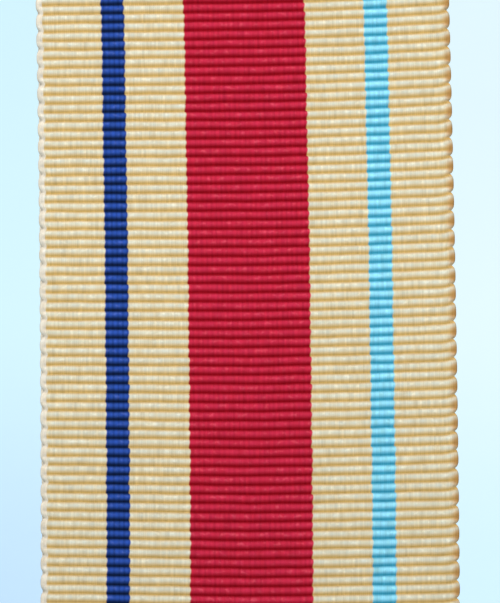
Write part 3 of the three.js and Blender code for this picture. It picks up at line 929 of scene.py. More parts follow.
def line_object(name, points):
    """A curve of straight stretches through points in the frame."""
    curve = bpy.data.curves.new(name, "CURVE")
    curve.dimensions = "3D"
    spline = curve.splines.new("POLY")
    spline.points.add(len(points) - 1)
    for point, where in zip(spline.points, points, strict=True):
        point.co = (*where, 1)
    return linked(name, curve)


def mesh_object(name, mesh):
    """A hidden object that holds a mesh for instancing."""
    made = linked(name, mesh)
    made.hide_render = True
    return made


class MEDAL_OT_ribbon(bpy.types.Operator):
    """Weave the ribbon round both rails and sew its lap"""

    bl_idname = "medal.ribbon"
    bl_label = "Ribbon"

    def execute(self, context):
        settings = context.scene.medal_ribbon
        points = ribbon_path(settings)
        total = path_length(points)
        front_start = path_length(points[:TURN_STEPS + 2])  # the hidden end and the first turn
        path = line_object("ribbon_path", [(0, y, z) for y, z in points])
        cloth = ribbon_material(settings)
        mesh = grown("Ribbed ribbon", ribbon_plan, {
            "Path": path,
            "Length": total,
            "Ribs": round(total / settings.pitch),
            "Rows Per Rib": settings.rows,
            "Columns": settings.columns,
            "Width": settings.width,
            "Thickness": settings.thickness,
            "Core": settings.core,
            "Notch": settings.notch,
            "Selvedge": settings.selvedge,
            "Front Start": front_start,
            "Front End": front_start + BROOCH_RAIL.z - SUSPENDER_RAIL.z,
            "Right Rise Top": 0.435 * MM,
            "Right Rise Foot": 0.06 * MM,
            "Left Rise Top": -0.04 * MM,
            "Left Rise Foot": 0.51 * MM,
            "Hook": 0.13 * MM,
            "Wander": 0.16 * MM,
            "Sway": 0.14 * MM,
            "Seed": 4.0,
            "Material": cloth,
        })
        bpy.data.objects.remove(path)
        woven = bmesh.new()
        woven.from_mesh(mesh)
        ribbon = linked("ribbon_cloth", facing_out(woven, mesh))
        ribbon.data.shade_smooth()
        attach(ribbon, "ribbon")
        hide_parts("ribbon")
        stitches = self.sew(settings)
        return {"FINISHED"}

    def sew(self, settings):
        """Whip stitches over the lap's edge and a running seam near its foot."""
        thread = mesh_object("thread", stitch_mesh(settings.stitch, 0.11 * MM))
        cotton = thread_material()
        lap_top = BROOCH_RAIL.z - settings.lap_top
        surface = LOOP_Y + loop_radius(settings) + settings.thickness * 1.5
        inset = settings.width / 2 - 0.9 * MM
        rows = (  # height, lean, spacing
            (lap_top - 0.05 * MM, math.radians(62), 1.35 * MM),
            (lap_top - settings.lap + 0.9 * MM, 0.0, 2.3 * MM),
        )
        parts = []
        for height, lean, spacing in rows:
            seam = line_object("seam", [(-inset, surface, height), (inset, surface, height)])
            parts.append(grown("Stitch row", stitch_plan, {
                "Path": seam,
                "Stitch": thread,
                "Spacing": spacing,
                "Lean": lean,
                "Lean Jitter": 0.25,
                "Outward": (0.0, 1.0, 0.0),
                "Seed": 2.0,
                "Material": cotton,
            }))
            bpy.data.objects.remove(seam)
        bpy.data.objects.remove(thread)
        return piece(
            "hem_stitches", "ribbon", None, cotton, parts, sharp=80)


def stitch_mesh(stitch_length, diameter):
    """A thread that rises out of the cloth and goes back in, along x."""
    sides, stations = 8, 8
    made = bmesh.new()
    rings = []
    for i in range(stations + 1):
        t = i / stations
        z = diameter * (1.3 * math.sin(math.pi * t) ** 0.5 - 0.75)
        circle = arc(0, z, diameter / 2, 0, 360, sides)[:-1]
        rings.append([made.verts.new(((t - 0.5) * stitch_length, *place)) for place in circle])
    for before, after in zip(rings, rings[1:], strict=False):
        bridge(made, before, after, sides)
    made.faces.new(rings[0])
    made.faces.new(rings[-1])
    return facing_out(made, bpy.data.meshes.new("stitch"))


# --------------------------------------------------------------------------- ornament


def spray_plan(b, given):
    """Laurel leaves in threes along a stem, one to each side and one along it, with berries
    between them."""
    path = b.shape(given["Path"])
    spaced = b.spaced(path, given["Spacing"])
    leaf = b.shape(given["Leaf"])
    tangent = b.value("GeometryNodeInputTangent")
    index = b.value("GeometryNodeInputIndex")
    joined = b.node("GeometryNodeJoinGeometry")
    for side, share in ((-1.0, 1.0), (1.0, 1.0), (0.0, 0.9)):
        jitter = b.random(b.vector(index, side + 5.0, given["Seed"])) - 0.5
        lean = given["Lean"] * side + jitter * 0.14
        size = share + jitter * 0.1
        b.feed(joined.inputs[0], b.value("GeometryNodeInstanceOnPoints", {
            "Points": spaced,
            "Instance": leaf,
            "Rotation": b.leaning(given["Outward"], tangent, lean),
            "Scale": b.vector(size, size, 1.0),
        }))
    onward = b.scaled(tangent, given["Spacing"] * 0.45)
    between = b.value("GeometryNodeSetPosition", {"Geometry": spaced, "Offset": onward})
    b.feed(joined.inputs[0], b.value(
        "GeometryNodeInstanceOnPoints", {"Points": between, "Instance": b.shape(given["Berry"])}))
    circle = b.value("GeometryNodeCurvePrimitiveCircle", {"Resolution": 8, "Radius": given["Stem"]})
    b.feed(joined.inputs[0], b.value(
        "GeometryNodeCurveToMesh", {"Curve": path, "Profile Curve": circle, "Fill Caps": True}))
    return Formula(b, joined.outputs[0])


def bead_plan(b, given):
    """Beads set side by side round a path."""
    counted = {"Curve": b.shape(given["Path"]), "Count": given["Count"]}
    spaced = b.value("GeometryNodeResampleCurve", counted, mode="COUNT")
    return b.value(
        "GeometryNodeInstanceOnPoints", {"Points": spaced, "Instance": b.shape(given["Bead"])})


def ball_mesh(radius, sides=10):
    """A small ball with few faces, because it is repeated."""
    profile = [(0, -radius)] + arc(0, 0, radius, -60, 60, 4) + [(0, radius)]
    return revolved(profile, sides, Matrix.Identity(4))


def spray(points, leaf, leaf_width, leaf_height, spacing, outward, material, seed=1.0, lean=34):
    """A laurel spray as a plain mesh."""
    holders = (
        line_object("stem", points),
        mesh_object("leaf", leaf_mesh(leaf, leaf_width, leaf_height)),
        mesh_object("berry", ball_mesh(leaf_width * 0.20)),
    )
    mesh = grown("Laurel spray", spray_plan, {
        "Path": holders[0],
        "Leaf": holders[1],
        "Berry": holders[2],
        "Spacing": spacing,
        "Lean": math.radians(lean),
        "Stem": leaf_width * 0.12,
        "Outward": tuple(outward),
        "Seed": seed,
        "Material": material,
    })
    for holder in holders:
        bpy.data.objects.remove(holder)
    return mesh


def bead_ring(radius, centre, bead, count, material):
    """A ring of beads in a plane that faces forward or back."""
    ring = [(centre.x + x, centre.y, centre.z + z)
            for x, z in arc(0, 0, radius, 0, 360, count * 2)]
    path = line_object("bead_line", ring)
    bead_holder = mesh_object("bead", ball_mesh(bead / 2, 8))
    mesh = grown("Bead ring", bead_plan, {
        "Path": path,
        "Bead": bead_holder,
        "Count": count + 1,
        "Material": material,
    })
    for holder in (path, bead_holder):
        bpy.data.objects.remove(holder)
    return mesh


# --------------------------------------------------------------------------- brooch


class MEDAL_OT_brooch(bpy.types.Operator):
    """Make the brooch's front bar, its cheeks and its rail"""

    bl_idname = "medal.brooch"
    bl_label = "Brooch"

    def execute(self, context):
        settings = context.scene.medal_metal
        low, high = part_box("brooch_frame")
        front, back = low.y, high.y
        half = high.x
        body_front = 2 * LOOP_Y
        depth = abs(body_front)
        foot = BROOCH_RAIL.z + RAIL_RADIUS + 1.6 * MM
        cheek_foot = BROOCH_RAIL.z + 0.95 * MM
        corner = 1.2 * MM
        brass = relief_metal(
            "gilt_brass", settings.brass, settings.brass_toned, 0.26, back,
            depth + 0.02 * MM, abs(front) - 0.08 * MM)
        inner = half - CHEEK_WIDTH
        outline = mirrored(
            [(0, foot), (inner, foot), (inner, cheek_foot), (half, cheek_foot)]
            + arc(half - corner, high.z - corner, corner, 0, 90, 8) + [(0, high.z)])
        parts = [slab([outline], depth, 0.18 * MM, shifted(y=LOOP_Y) @ FACING)]
        parts += self.knuckles(half)
        parts += self.front_panel(half, foot, high.z, body_front, front, brass)
        piece("brooch_bar", "brooch", "brooch_frame", brass, parts)
        self.rail(brass)
        return {"FINISHED"}

    def knuckles(self, half):
        """The rounded ends that the rail is held in."""
        bore = RAIL_RADIUS + 0.03 * MM
        edge = 0.15 * MM
        section = [
            (bore, 0), (KNUCKLE_RADIUS - edge, 0), (KNUCKLE_RADIUS, edge),
            (KNUCKLE_RADIUS, CHEEK_WIDTH - edge), (KNUCKLE_RADIUS - edge, CHEEK_WIDTH),
            (bore, CHEEK_WIDTH)]
        for start in (-half, half - CHEEK_WIDTH):
            place = shifted(start, LOOP_Y, BROOCH_RAIL.z) @ ALONG_X
            yield revolved(section, 48, place, closed=True)

    def front_panel(self, half, foot, top, back, front, brass):
        """A raised border, and laurel on each side of a small star."""
        sunk = 0.2 * MM
        rise = back - front
        place = shifted(y=(front + back + sunk) / 2) @ FACING
        border = [
            rounded_box(half - inset, foot + inset, top - inset, corner, 6)
            for inset, corner in ((0.35 * MM, 0.8 * MM), (0.95 * MM, 0.35 * MM))]
        yield slab(border, rise + sunk, 0.16 * MM, place)
        middle = (foot + top) / 2
        outward = Vector((0, -1, 0))
        for side in (-1, 1):
            stem = [(side * x * MM, back, middle) for x in range(3, 16)]
            yield spray(stem, 2.6 * MM, 1.05 * MM, 0.34 * MM, 1.55 * MM, outward, brass, 3.0, 32)
        star = star_mesh(1.9 * MM, rise * 0.9)
        star.transform(shifted(0, back, middle) @ FACING)
        yield star

    def rail(self, brass):
        """The rod that the ribbon hangs from, its ends peened over."""
        low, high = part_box("brooch_rail")
        dome = 0.12 * MM
        profile = [(0, 0), (RAIL_RADIUS - dome, 0), (RAIL_RADIUS, dome)]
        profile += [(r, high.x - low.x - h) for r, h in reversed(profile)]
        place = shifted(low.x, LOOP_Y, BROOCH_RAIL.z) @ ALONG_X
        piece("brooch_rod", "brooch", "brooch_rail", brass,
              [revolved(profile, 48, place)])


class MEDAL_OT_pin(bpy.types.Operator):
    """Make the pin, its hinge and its turning safety catch"""

    bl_idname = "medal.pin"
    bl_label = "Pin and catch"

    def execute(self, context):
        settings = context.scene.medal_metal
        self.nickel = plated_metal("plated_nickel", settings.nickel, 0.24)
        self.hinge()
        self.wire(settings)
        self.housing()
        self.roller()
        return {"FINISHED"}

    def foot(self, centre_x):
        """A soldered foot with rounded corners."""
        outline = rounded_box(2.0 * MM, -1.8 * MM, 1.8 * MM, 0.7 * MM, 6)
        sheet = 0.5 * MM
        place = shifted(centre_x, sheet / 2, PIN_LINE.z) @ FACING
        return slab([outline], sheet, 0.1 * MM, place)

    def hinge(self):
        """A bracket with two bored ears, and the rivet through them."""
        x, y = PIN_HINGE.x, PIN_HINGE.y
        bore = arc(x, y, 0.43 * MM, 360, 12, 28)
        ear = [(x - 1.5 * MM, 0.2 * MM), (x + 1.5 * MM, 0.2 * MM)]
        ear += arc(x, y, 1.0 * MM, 0, 180, 20)
        parts = [self.foot(x)]
        for side in (-1, 1):
            level = PIN_HINGE.z + side * 0.8 * MM
            parts.append(slab([ear, bore], 0.5 * MM, 0.08 * MM, shifted(z=level)))
        piece("pin_hinge", "brooch", "pin_hinge_bracket", self.nickel, parts)

        reach = 1.08 * MM
        head = [(0, -reach - 0.25 * MM), (0.45 * MM, -reach - 0.2 * MM), (0.68 * MM, -reach)]
        profile = both_ways(head + [(0.4 * MM, -reach)])
        piece("pin_rivet", "brooch", "pin_hinge_rivet", self.nickel,
              [revolved(profile, 32, Matrix.Translation(PIN_HINGE))])

    def wire(self, settings):
        """Spring wire with a flattened eye and a ground point."""
        steel = plated_metal("spring_steel", settings.steel, 0.20)
        _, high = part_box("brooch_pin")
        start = 0.7 * MM
        end = high.x - PIN_HINGE.x
        taper = end - 3.6 * MM
        radius = 0.5 * MM
        profile = [(0, start), (radius * 0.86, start), (radius, start + 0.9 * MM), (radius, taper)]
        profile += [(radius * (1 - t ** 1.6) + 0.05 * MM * t, taper + t * (end - taper))
                    for t in (0.15, 0.3, 0.45, 0.6, 0.75, 0.9)]
        profile += [(0, end)]
        stem = revolved(profile, 32, Matrix.Translation(PIN_HINGE) @ ALONG_X)
        bore, rim, half, edge = 0.46 * MM, 1.0 * MM, 0.45 * MM, 0.12 * MM
        section = both_ways([(bore, -half), (rim - edge, -half), (rim, -half + edge)])
        eye = revolved(section, 40, Matrix.Translation(PIN_HINGE), closed=True)
        piece("pin_wire", "pin", "brooch_pin", steel, [stem, eye])

    def open_ring(self, outer, inner, start, end, bevel):
        """A ring about the pin's line with its mouth to the back."""
        gap = 0.65 * MM
        a_out, a_in = (math.degrees(math.asin(gap / radius)) for radius in (outer, inner))
        loop = arc(0, 0, outer, a_out, 360 - a_out, 40) + arc(0, 0, inner, 360 - a_in, a_in, 30)
        place = shifted((start + end) / 2, PIN_LINE.y, PIN_LINE.z) @ ALONG_X
        return slab([loop], end - start, bevel, place)

    def housing(self):
        """An open ring on a foot, for the roller to turn in."""
        low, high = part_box("catch_housing")
        centre = (low.x + high.x) / 2
        half = 1.1 * MM
        ring = self.open_ring(1.9 * MM, 1.35 * MM, centre - half, centre + half, 0.08 * MM)
        piece("catch_hook", "brooch", "catch_housing", self.nickel,
              [self.foot(centre), ring])

    def roller(self):
        """A slotted tube with a flange at one end and a ridged thumb tab at the other."""
        low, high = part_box("catch_roller")
        tab = 0.6 * MM
        parts = [
            self.open_ring(1.27 * MM, 0.66 * MM, low.x + 0.1 * MM, high.x, 0.05 * MM),
            self.open_ring(1.6 * MM, 1.2 * MM, low.x, low.x + 0.3 * MM, 0.06 * MM),
        ]
        half, reach = 0.75 * MM, 2.7 * MM
        lever = [(1.0 * MM, -half)] + arc(reach - half, 0, half, -90, 90, 14) + [(1.0 * MM, half)]
        turn = Matrix.Rotation(math.radians(75), 4, "Z")
        place = shifted(high.x - tab / 2, PIN_LINE.y, PIN_LINE.z) @ ALONG_X @ turn
        parts.append(slab([lever], tab, 0.08 * MM, place))
        ridge, ridge_half = 0.13 * MM, half * 0.7
        for k in range(4):
            start = (1.55 + 0.27 * k) * MM
            bar = [(start, -ridge_half), (start + ridge, -ridge_half),
                   (start + ridge, ridge_half), (start, ridge_half)]
            parts.append(slab([bar], tab + 0.1 * MM, 0.03 * MM, place))
        piece("catch_collar", "roller", "catch_roller", self.nickel, parts)


# --------------------------------------------------------------------------- suspender, swivel


class MEDAL_OT_suspender(bpy.types.Operator):
    """Make the straight-bar suspender"""

    bl_idname = "medal.suspender"
    bl_label = "Suspender"

    def execute(self, context):
        settings = context.scene.medal_metal
        bronze = bronze_material(settings)
        _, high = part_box("suspender_bar")
        half = high.x
        inner = half - CHEEK_WIDTH

        def at(x, drop):
            return (x, SUSPENDER_RAIL.z - drop * MM)

        boss = 1.3 * MM
        arm = [at(half, 0), at(half, 2.6)]
        arm += cubic(at(half, 2.6), at(half, 6.2), at(7 * MM, 5.2), at(boss, 8.0), 28)
        arm += [at(boss, 4.05)]
        arm += cubic(
            at(boss, 4.05), at(8 * MM, 3.45), at(inner - 1 * MM, 4.05), at(inner, 2.2), 28)
        arm += [at(inner, 0)]
        parts = []
        for side in (-1, 1):
            loop = [(side * x, z) for x, z in arm]
            parts.append(slab([loop], 2.0 * MM, 0.42 * MM, shifted(y=LOOP_Y) @ FACING))
            parts += self.arm_leaves(side, at, bronze)
            parts.append(self.knuckle(side, half))
        rail = rod(RAIL_RADIUS, -half + 1 * MM, half - 1 * MM)
        parts.append(revolved(rail, 48, shifted(0, LOOP_Y, SUSPENDER_RAIL.z) @ ALONG_X))
        parts.append(self.boss())
        piece("suspender", "suspender", "suspender_bar", bronze, parts)
        return {"FINISHED"}

    def arm_leaves(self, side, at, bronze):
        """Leaves that run out along each arm, on both faces."""
        line = cubic(at(2.6 * MM, 5.9), at(7 * MM, 5.0), at(10 * MM, 4.85), at(13.6 * MM, 4.5), 14)
        for face in (-1, 1):
            stem = [(side * x, LOOP_Y + face * 1.0 * MM, z) for x, z in line]
            yield spray(
                stem, 1.7 * MM, 0.7 * MM, 0.26 * MM, 1.25 * MM, Vector((0, face, 0)), bronze,
                5.0, 24)

    def knuckle(self, side, half):
        """The rounded shoulder at one end of the rail, with a turned button on its end."""
        r = KNUCKLE_RADIUS
        w = CHEEK_WIDTH
        profile = [(0, 0), (r * 0.9, 0), (r, 0.15 * MM), (r, w * 0.55), (r * 0.86, w * 0.62),
                   (r * 0.86, w * 0.70), (r * 0.98, w * 0.78), (r * 0.8, w * 0.95), (0, w)]
        place = shifted(side * (half - w), LOOP_Y, SUSPENDER_RAIL.z) @ ALONG_X
        if side < 0:
            place = place @ Matrix.Rotation(math.pi, 4, "X")
        return revolved(profile, 48, place)

    def boss(self):
        """The bored boss that the swivel turns in, with two turned collars."""
        bore, radius, height = 0.88 * MM, 1.9 * MM, 4.35 * MM
        steps = (  # height in mm, share of the radius
            (0, 0.82), (0.25, 0.95), (0.6, 1.0), (0.95, 0.93), (1.15, 0.78), (3.0, 0.74),
            (3.2, 0.92), (3.55, 1.0), (3.95, 1.0), (4.2, 0.9), (4.35, 0.76))
        section = [(radius * share, level * MM) for level, share in steps]
        place = shifted(0, LOOP_Y, SUSPENDER_RAIL.z - 8.4 * MM)
        return revolved([(bore, 0), *section, (bore, height)], 48, place, closed=True)


def rivet_bore():
    """The hole for the claw's rivet, through the claw and the medal."""
    return revolved(
        rod(0.73 * MM, -5 * MM, 5 * MM), 40, Matrix.Translation(RIVET_CENTRE) @ FACING)


class MEDAL_OT_swivel(bpy.types.Operator):
    """Make the swivel post, the claw and its rivet"""

    bl_idname = "medal.swivel"
    bl_label = "Swivel and claw"

    def execute(self, context):
        bronze = bronze_material(context.scene.medal_metal)
        self.post(bronze)
        self.claw(bronze)
        self.rivet(bronze)
        return {"FINISHED"}

    def post(self, bronze):
        """A headed post, its collar on the claw's top."""
        low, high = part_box("swivel_post")
        top = high.z
        head_foot = top - 0.75 * MM
        collar_foot = low.z + 1.3 * MM
        collar_top = collar_foot + 0.5 * MM
        profile = [
            (0, low.z), (0.9 * MM, low.z), (0.9 * MM, collar_foot),
            (1.4 * MM, collar_foot), (1.5 * MM, collar_foot + 0.12 * MM),
            (1.5 * MM, collar_top - 0.12 * MM), (1.4 * MM, collar_top),
            (0.8 * MM, collar_top), (0.8 * MM, head_foot), (1.25 * MM, head_foot),
            (1.35 * MM, head_foot + 0.15 * MM), (1.2 * MM, head_foot + 0.42 * MM),
            (0.75 * MM, top - 0.07 * MM), (0, top)]
        piece("swivel", "medal", "swivel_post", bronze,
              [revolved(profile, 40, shifted(0, LOOP_Y, 0))])

    def claw(self, bronze):
        """A saddle over the medal's rim, with three leaves on each face."""
        low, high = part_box("claw")
        top = high.z
        depth = high.y - low.y

        def at(x, drop):
            return (x * MM, top - drop * MM)

        right = [at(0, 5.9)]
        right += cubic(at(0, 5.9), at(0.9, 5.0), at(1.6, 4.75), at(2.5, 4.6), 8)
        right += cubic(at(2.5, 4.6), at(4.2, 4.5), at(4.9, 3.9), at(5.0, 2.5), 10)
        right += cubic(at(5.0, 2.5), at(3.2, 2.0), at(1.9, 1.4), at(1.9, 0), 12)
        right += [at(0, 0)]
        body = slab([mirrored(right)], depth, 0.3 * MM, shifted(y=LOOP_Y) @ FACING)
        gap = 1.4 * MM
        slot = revolved(
            rod(DISC_RADIUS + 0.1 * MM, -gap, gap), 128, Matrix.Translation(DISC_CENTRE) @ FACING)
        bore = revolved(rod(0.93 * MM, 0, 3 * MM), 40, shifted(0, LOOP_Y, top - 1.5 * MM))
        parts = [cut(body, slot, bore, rivet_bore())]
        for face, stand in ((-1, FACING), (1, BEHIND)):
            for angle, size in ((-38, 0.8), (38, 0.8), (0, 1.0)):
                leaf = leaf_mesh(3.0 * MM * size, 1.15 * MM, 0.22 * MM)
                turn = Matrix.Rotation(math.radians(angle - 90), 4, "Z")
                place = shifted(0, LOOP_Y + face * (depth / 2 - 0.04 * MM), top - 0.6 * MM)
                if angle == 0:
                    turn = shifted(0, -0.1 * MM, 0) @ turn
                leaf.transform(place @ stand @ turn)
                parts.append(leaf)
        piece("claw_saddle", "medal", "claw", bronze, parts)

    def rivet(self, bronze):
        """A rivet with a domed head on each side of the claw."""
        grip = (RIVET_HIGH.y - RIVET_LOW.y) / 2 - 0.3 * MM
        profile = both_ways([
            (0, -grip - 0.3 * MM), (0.45 * MM, -grip - 0.27 * MM), (0.85 * MM, -grip - 0.15 * MM),
            (1.05 * MM, -grip), (0.7 * MM, -grip)])
        piece("claw_pin", "medal", "claw_rivet", bronze,
              [revolved(profile, 40, Matrix.Translation(RIVET_CENTRE) @ FACING)])


# --------------------------------------------------------------------------- disc


class MEDAL_OT_disc(bpy.types.Operator):
    """Strike the medal: a star in a laurel wreath, and behind it a plain panel in a wreath"""

    bl_idname = "medal.disc"
    bl_label = "Disc"

    FIELD = 0.85 * MM  # half the thickness at the field's edge
    BAND = 0.95 * MM  # and at the band under the beads

    def execute(self, context):
        settings = context.scene.medal_metal
        bronze = bronze_material(settings)
        parts = [self.blank()]
        bead_radius = 16.15 * MM
        count = round(FULL_TURN * bead_radius / (settings.bead * 1.08))
        for face in (-1, 1):
            level = Vector((DISC_CENTRE.x, LOOP_Y + face * self.BAND, DISC_CENTRE.z))
            parts.append(bead_ring(bead_radius, level, settings.bead, count, bronze))
            parts += self.wreath(settings, bronze, face)
        parts += self.star(settings)
        parts.append(self.panel())
        piece("medal", "medal", "medal_disc", bronze, parts)
        return {"FINISHED"}

    def blank(self):
        """The struck blank: raised rim, band and slightly hollow field on both faces."""
        rim, band, field = RIM_HALF, self.BAND, self.FIELD
        field_radius, hollow = 13.3 * MM, 0.12 * MM
        shares = [step / 8 for step in range(9)]
        half = [(field_radius * t, field - hollow * (1 - t ** 2)) for t in shares]
        half += [
            (13.45 * MM, field + 0.22 * MM), (13.6 * MM, field + 0.30 * MM),
            (13.85 * MM, field + 0.30 * MM), (14.0 * MM, field + 0.22 * MM),
            (14.15 * MM, band), (16.6 * MM, band), (16.75 * MM, band + 0.06 * MM),
            (16.95 * MM, rim - 0.08 * MM), (17.15 * MM, rim), (17.55 * MM, rim),
            (17.8 * MM, rim - 0.06 * MM), (17.94 * MM, rim - 0.2 * MM),
            (DISC_RADIUS, rim - 0.42 * MM)]
        profile = both_ways([(radius, -height) for radius, height in half])
        blank = revolved(profile, 256, Matrix.Translation(DISC_CENTRE) @ FACING)
        return cut(blank, rivet_bore())

    def wreath(self, settings, bronze, face):
        """Two laurel branches that cross at the foot and open at the top."""
        level = LOOP_Y + face * (self.FIELD - 0.05 * MM)
        radius = 11.1 * MM if face < 0 else 10.9 * MM
        spacing = settings.leaf * (0.62 if face < 0 else 0.66)
        for side in (-1, 1):
            stem = [(side * x, level, DISC_CENTRE.z + z)
                    for x, z in arc(0, 0, radius, -97, 62, 60)]
            yield spray(
                stem, settings.leaf, 1.15 * MM, 0.40 * MM, spacing, Vector((0, face, 0)), bronze,
                7.0 + side, 36)
        yield from self.tie(level, radius, face)

    def tie(self, level, radius, face):
        """The ribbon tie where the branches cross."""
        loop = rounded_box(0.75 * MM, -1.35 * MM, 1.35 * MM, 0.3 * MM, 5)
        foot = shifted(0, level + face * 0.12 * MM, DISC_CENTRE.z - radius)
        yield slab([loop], 0.6 * MM, 0.15 * MM, foot @ FACING)
        for side in (-1, 1):
            tail = leaf_mesh(2.1 * MM, 0.8 * MM, 0.24 * MM)
            turn = Matrix.Rotation(math.radians(-90 + side * 34), 4, "Z")
            tail.transform(foot @ (FACING if face < 0 else BEHIND) @ turn)
            yield tail

    def star(self, settings):
        """A faceted five-pointed star on short rays."""
        level = LOOP_Y - self.FIELD + 0.11 * MM
        place = shifted(DISC_CENTRE.x, level, DISC_CENTRE.z) @ FACING
        star = star_mesh(settings.star, 0.46 * MM)
        star.transform(place)
        yield star
        rays, start = 60, 1.6 * MM
        for i in range(rays):
            reach = settings.star * (0.86 if i % 2 else 0.74)
            ray = leaf_mesh(reach - start, 0.42 * MM, 0.09 * MM)
            turn = Matrix.Rotation(FULL_TURN * (i + 0.5) / rays, 4, "Z")
            ray.transform(place @ turn @ shifted(start))
            yield ray

    def panel(self):
        """The raised frame of the plain panel on the reverse, where a name would be engraved."""
        outer = rounded_box(6.6 * MM, -3.0 * MM, 3.0 * MM, 1.0 * MM, 8)
        inner = rounded_box(6.2 * MM, -2.6 * MM, 2.6 * MM, 0.7 * MM, 8)
        place = shifted(0, LOOP_Y + self.FIELD - 0.05 * MM, DISC_CENTRE.z) @ BEHIND
        return slab([outer, inner], 0.5 * MM, 0.1 * MM, place)


# --------------------------------------------------------------------------- stage


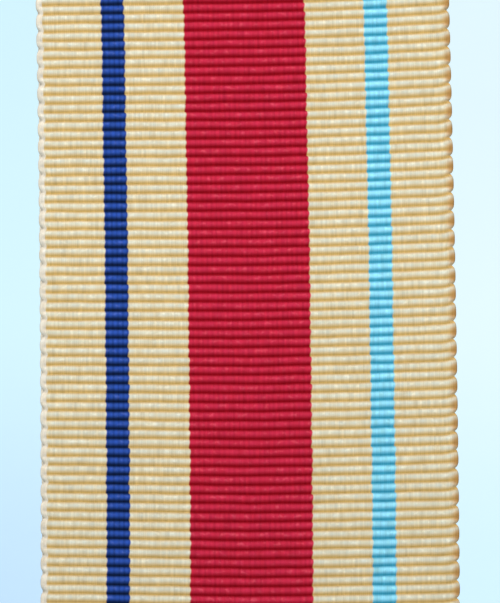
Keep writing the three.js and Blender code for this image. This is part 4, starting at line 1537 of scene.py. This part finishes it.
class MEDAL_OT_stage(bpy.types.Operator):
    """Set the camera, the lights and the pale floor"""

    bl_idname = "medal.stage"
    bl_label = "Camera and stage"

    def execute(self, context):
        settings = context.scene.medal_stage
        self.camera(context, settings)
        self.floor(settings)
        self.lights(context, settings)
        return {"FINISHED"}

    def camera(self, context, settings):
        """The camera looks straight at the middle of the ribbon's front."""
        data = bpy.data.cameras.new("camera")
        data.lens = settings.lens
        camera = linked("camera", data)
        distance = settings.view_height * settings.lens / data.sensor_width
        front = LOOP_Y - RAIL_RADIUS - 0.6 * MM
        target = Vector((0.31 * MM, front, (BROOCH_RAIL.z + SUSPENDER_RAIL.z) / 2 + 0.34 * MM))
        tilt = settings.tilt
        back = Vector((0, -math.cos(tilt), -math.sin(tilt)))
        facing = Matrix.Rotation(math.pi / 2 + tilt, 4, "X")
        roll = Matrix.Rotation(settings.roll, 4, "Z")
        camera.matrix_world = Matrix.Translation(target + back * distance) @ facing @ roll
        context.scene.camera = camera

    def floor(self, settings):
        """A floor that sweeps up into a backdrop."""
        level = DISC_LOW.z - 0.03
        radius, wall, height, half = 0.5, 1.3, 2.2, 3.0
        profile = [(-half, level)]
        profile += arc(wall - radius, level + radius, radius, -90, 0, 15)
        profile += [(wall, level + height)]
        mesh = bpy.data.meshes.new("sweep")
        points = [(x, y, z) for y, z in profile for x in (-half, half)]
        faces = [(2 * i, 2 * i + 1, 2 * i + 3, 2 * i + 2) for i in range(len(profile) - 1)]
        mesh.from_pydata(points, [], faces)
        mesh.shade_smooth()
        mesh.materials.append(self.paper(settings))
        linked("sweep", mesh)

    def paper(self, settings):
        """Matt pale paper, brighter to the right and deeper low down. It glows for the camera,
        and only faintly for what it lights."""
        material, b, shader = new_material("stage_paper", Roughness=1.0, Specular_IOR_Level=0.0)
        point = b.point()
        x, y, z = b.parts(point)
        fibre = b.noise(point, 40.0, 4.0)
        rightward = x.ramp(-0.17, 0.17)
        upper = b.blend(rightward, opaque(settings.glow), opaque(settings.glow_right))
        low = b.blend(rightward, opaque((0.70, 0.73, 0.97)), opaque((0.76, 0.90, 1.0)))
        deep = z.ramp(0.05, -0.14) * y.ramp(0.5, 0.9)
        near = b.blend(deep, upper, b.blend(1.0, upper, low, "MULTIPLY"))
        far = abs(x).ramp(0.5, 2.2).at_least((y * -1.0).ramp(0.5, 2.2))
        tint = b.blend(far, near, opaque(settings.distance))
        b.feed(shader.inputs["Emission Color"], tint)
        paper = b.blend(fibre, opaque(settings.paper), opaque([0.94 * c for c in settings.paper]))
        b.feed(shader.inputs["Base Color"], b.blend(far, paper, (0, 0, 0, 1)))
        seen = b.value("ShaderNodeLightPath", output="Is Camera Ray")
        b.feed(shader.inputs["Emission Strength"], seen * 0.75 + 0.25)
        return material

    def lights(self, context, settings):
        """Three round soft lights, aimed at the middle of the medal."""
        target = Vector((0, 0, -0.045))
        rows = (  # name, place, diameter, watts, colour
            ("key", (-0.42, -0.62, 0.62), 0.30, settings.key, (1.0, 0.98, 0.95)),
            ("fill", (0.75, -0.70, 0.15), 0.60, settings.fill, (0.95, 0.98, 1.0)),
            ("back", (0.30, 0.70, 0.65), 0.40, settings.fill * 0.9, (1.0, 1.0, 1.0)),
        )
        for name, place, size, power, tint in rows:
            data = bpy.data.lights.new(name, "AREA")
            data.shape = "DISK"
            data.size = size
            data.energy = power
            data.color = tint
            light = linked(name, data)
            light.location = place
            toward = target - Vector(place)
            light.rotation_euler = toward.to_track_quat("-Z", "Y").to_euler()
        context.scene.world = self.surroundings(settings)
        context.scene.view_settings.view_transform = "Standard"

    def surroundings(self, settings):
        """A room that is light above and dim below. The camera sees it as pale as the paper."""
        world = bpy.data.worlds.new("studio")
        world.use_nodes = True
        b = Builder(world.node_tree)
        background = world.node_tree.nodes["Background"]
        _, _, up = b.parts(b.value("ShaderNodeTexCoord", output="Generated"))
        seen = b.value("ShaderNodeLightPath", output="Is Camera Ray")
        lit = b.blend(seen, opaque((0.85, 0.92, 0.96)), opaque(settings.distance))
        b.feed(background.inputs["Color"], lit)
        room = b.remap(up, -0.5, 0.9, 0.16, 0.62)
        b.feed(background.inputs["Strength"], b.mix(seen, room, 1.0))
        return world


# --------------------------------------------------------------------------- panel and run


OPERATORS = (
    MEDAL_OT_stage,
    MEDAL_OT_ribbon,
    MEDAL_OT_brooch,
    MEDAL_OT_pin,
    MEDAL_OT_suspender,
    MEDAL_OT_swivel,
    MEDAL_OT_disc,
)

SETTINGS = {
    "medal_ribbon": MedalRibbonSettings,
    "medal_metal": MedalMetalSettings,
    "medal_stage": MedalStageSettings,
}


class MEDAL_PT_panel(bpy.types.Panel):
    """Lists the medal's settings and its makers"""

    bl_idname = "MEDAL_PT_panel"
    bl_label = "Service Medal"
    bl_space_type = "VIEW_3D"
    bl_region_type = "UI"
    bl_category = "Medal"

    def draw(self, context):
        for holder, group in SETTINGS.items():
            box = self.layout.box()
            for name in group.__annotations__:
                box.prop(getattr(context.scene, holder), name)
        for operator in OPERATORS:
            self.layout.operator(operator.bl_idname)


def register():
    for made in (*SETTINGS.values(), *OPERATORS, MEDAL_PT_panel):
        bpy.utils.register_class(made)
    for holder, group in SETTINGS.items():
        setattr(bpy.types.Scene, holder, PointerProperty(type=group))


def unregister():
    for holder in SETTINGS:
        delattr(bpy.types.Scene, holder)
    for made in reversed((*SETTINGS.values(), *OPERATORS, MEDAL_PT_panel)):
        bpy.utils.unregister_class(made)


def main():
    register()
    for operator in OPERATORS:
        group, name = operator.bl_idname.split(".")
        getattr(getattr(bpy.ops, group), name)()


if __name__ == "__main__":
    main()
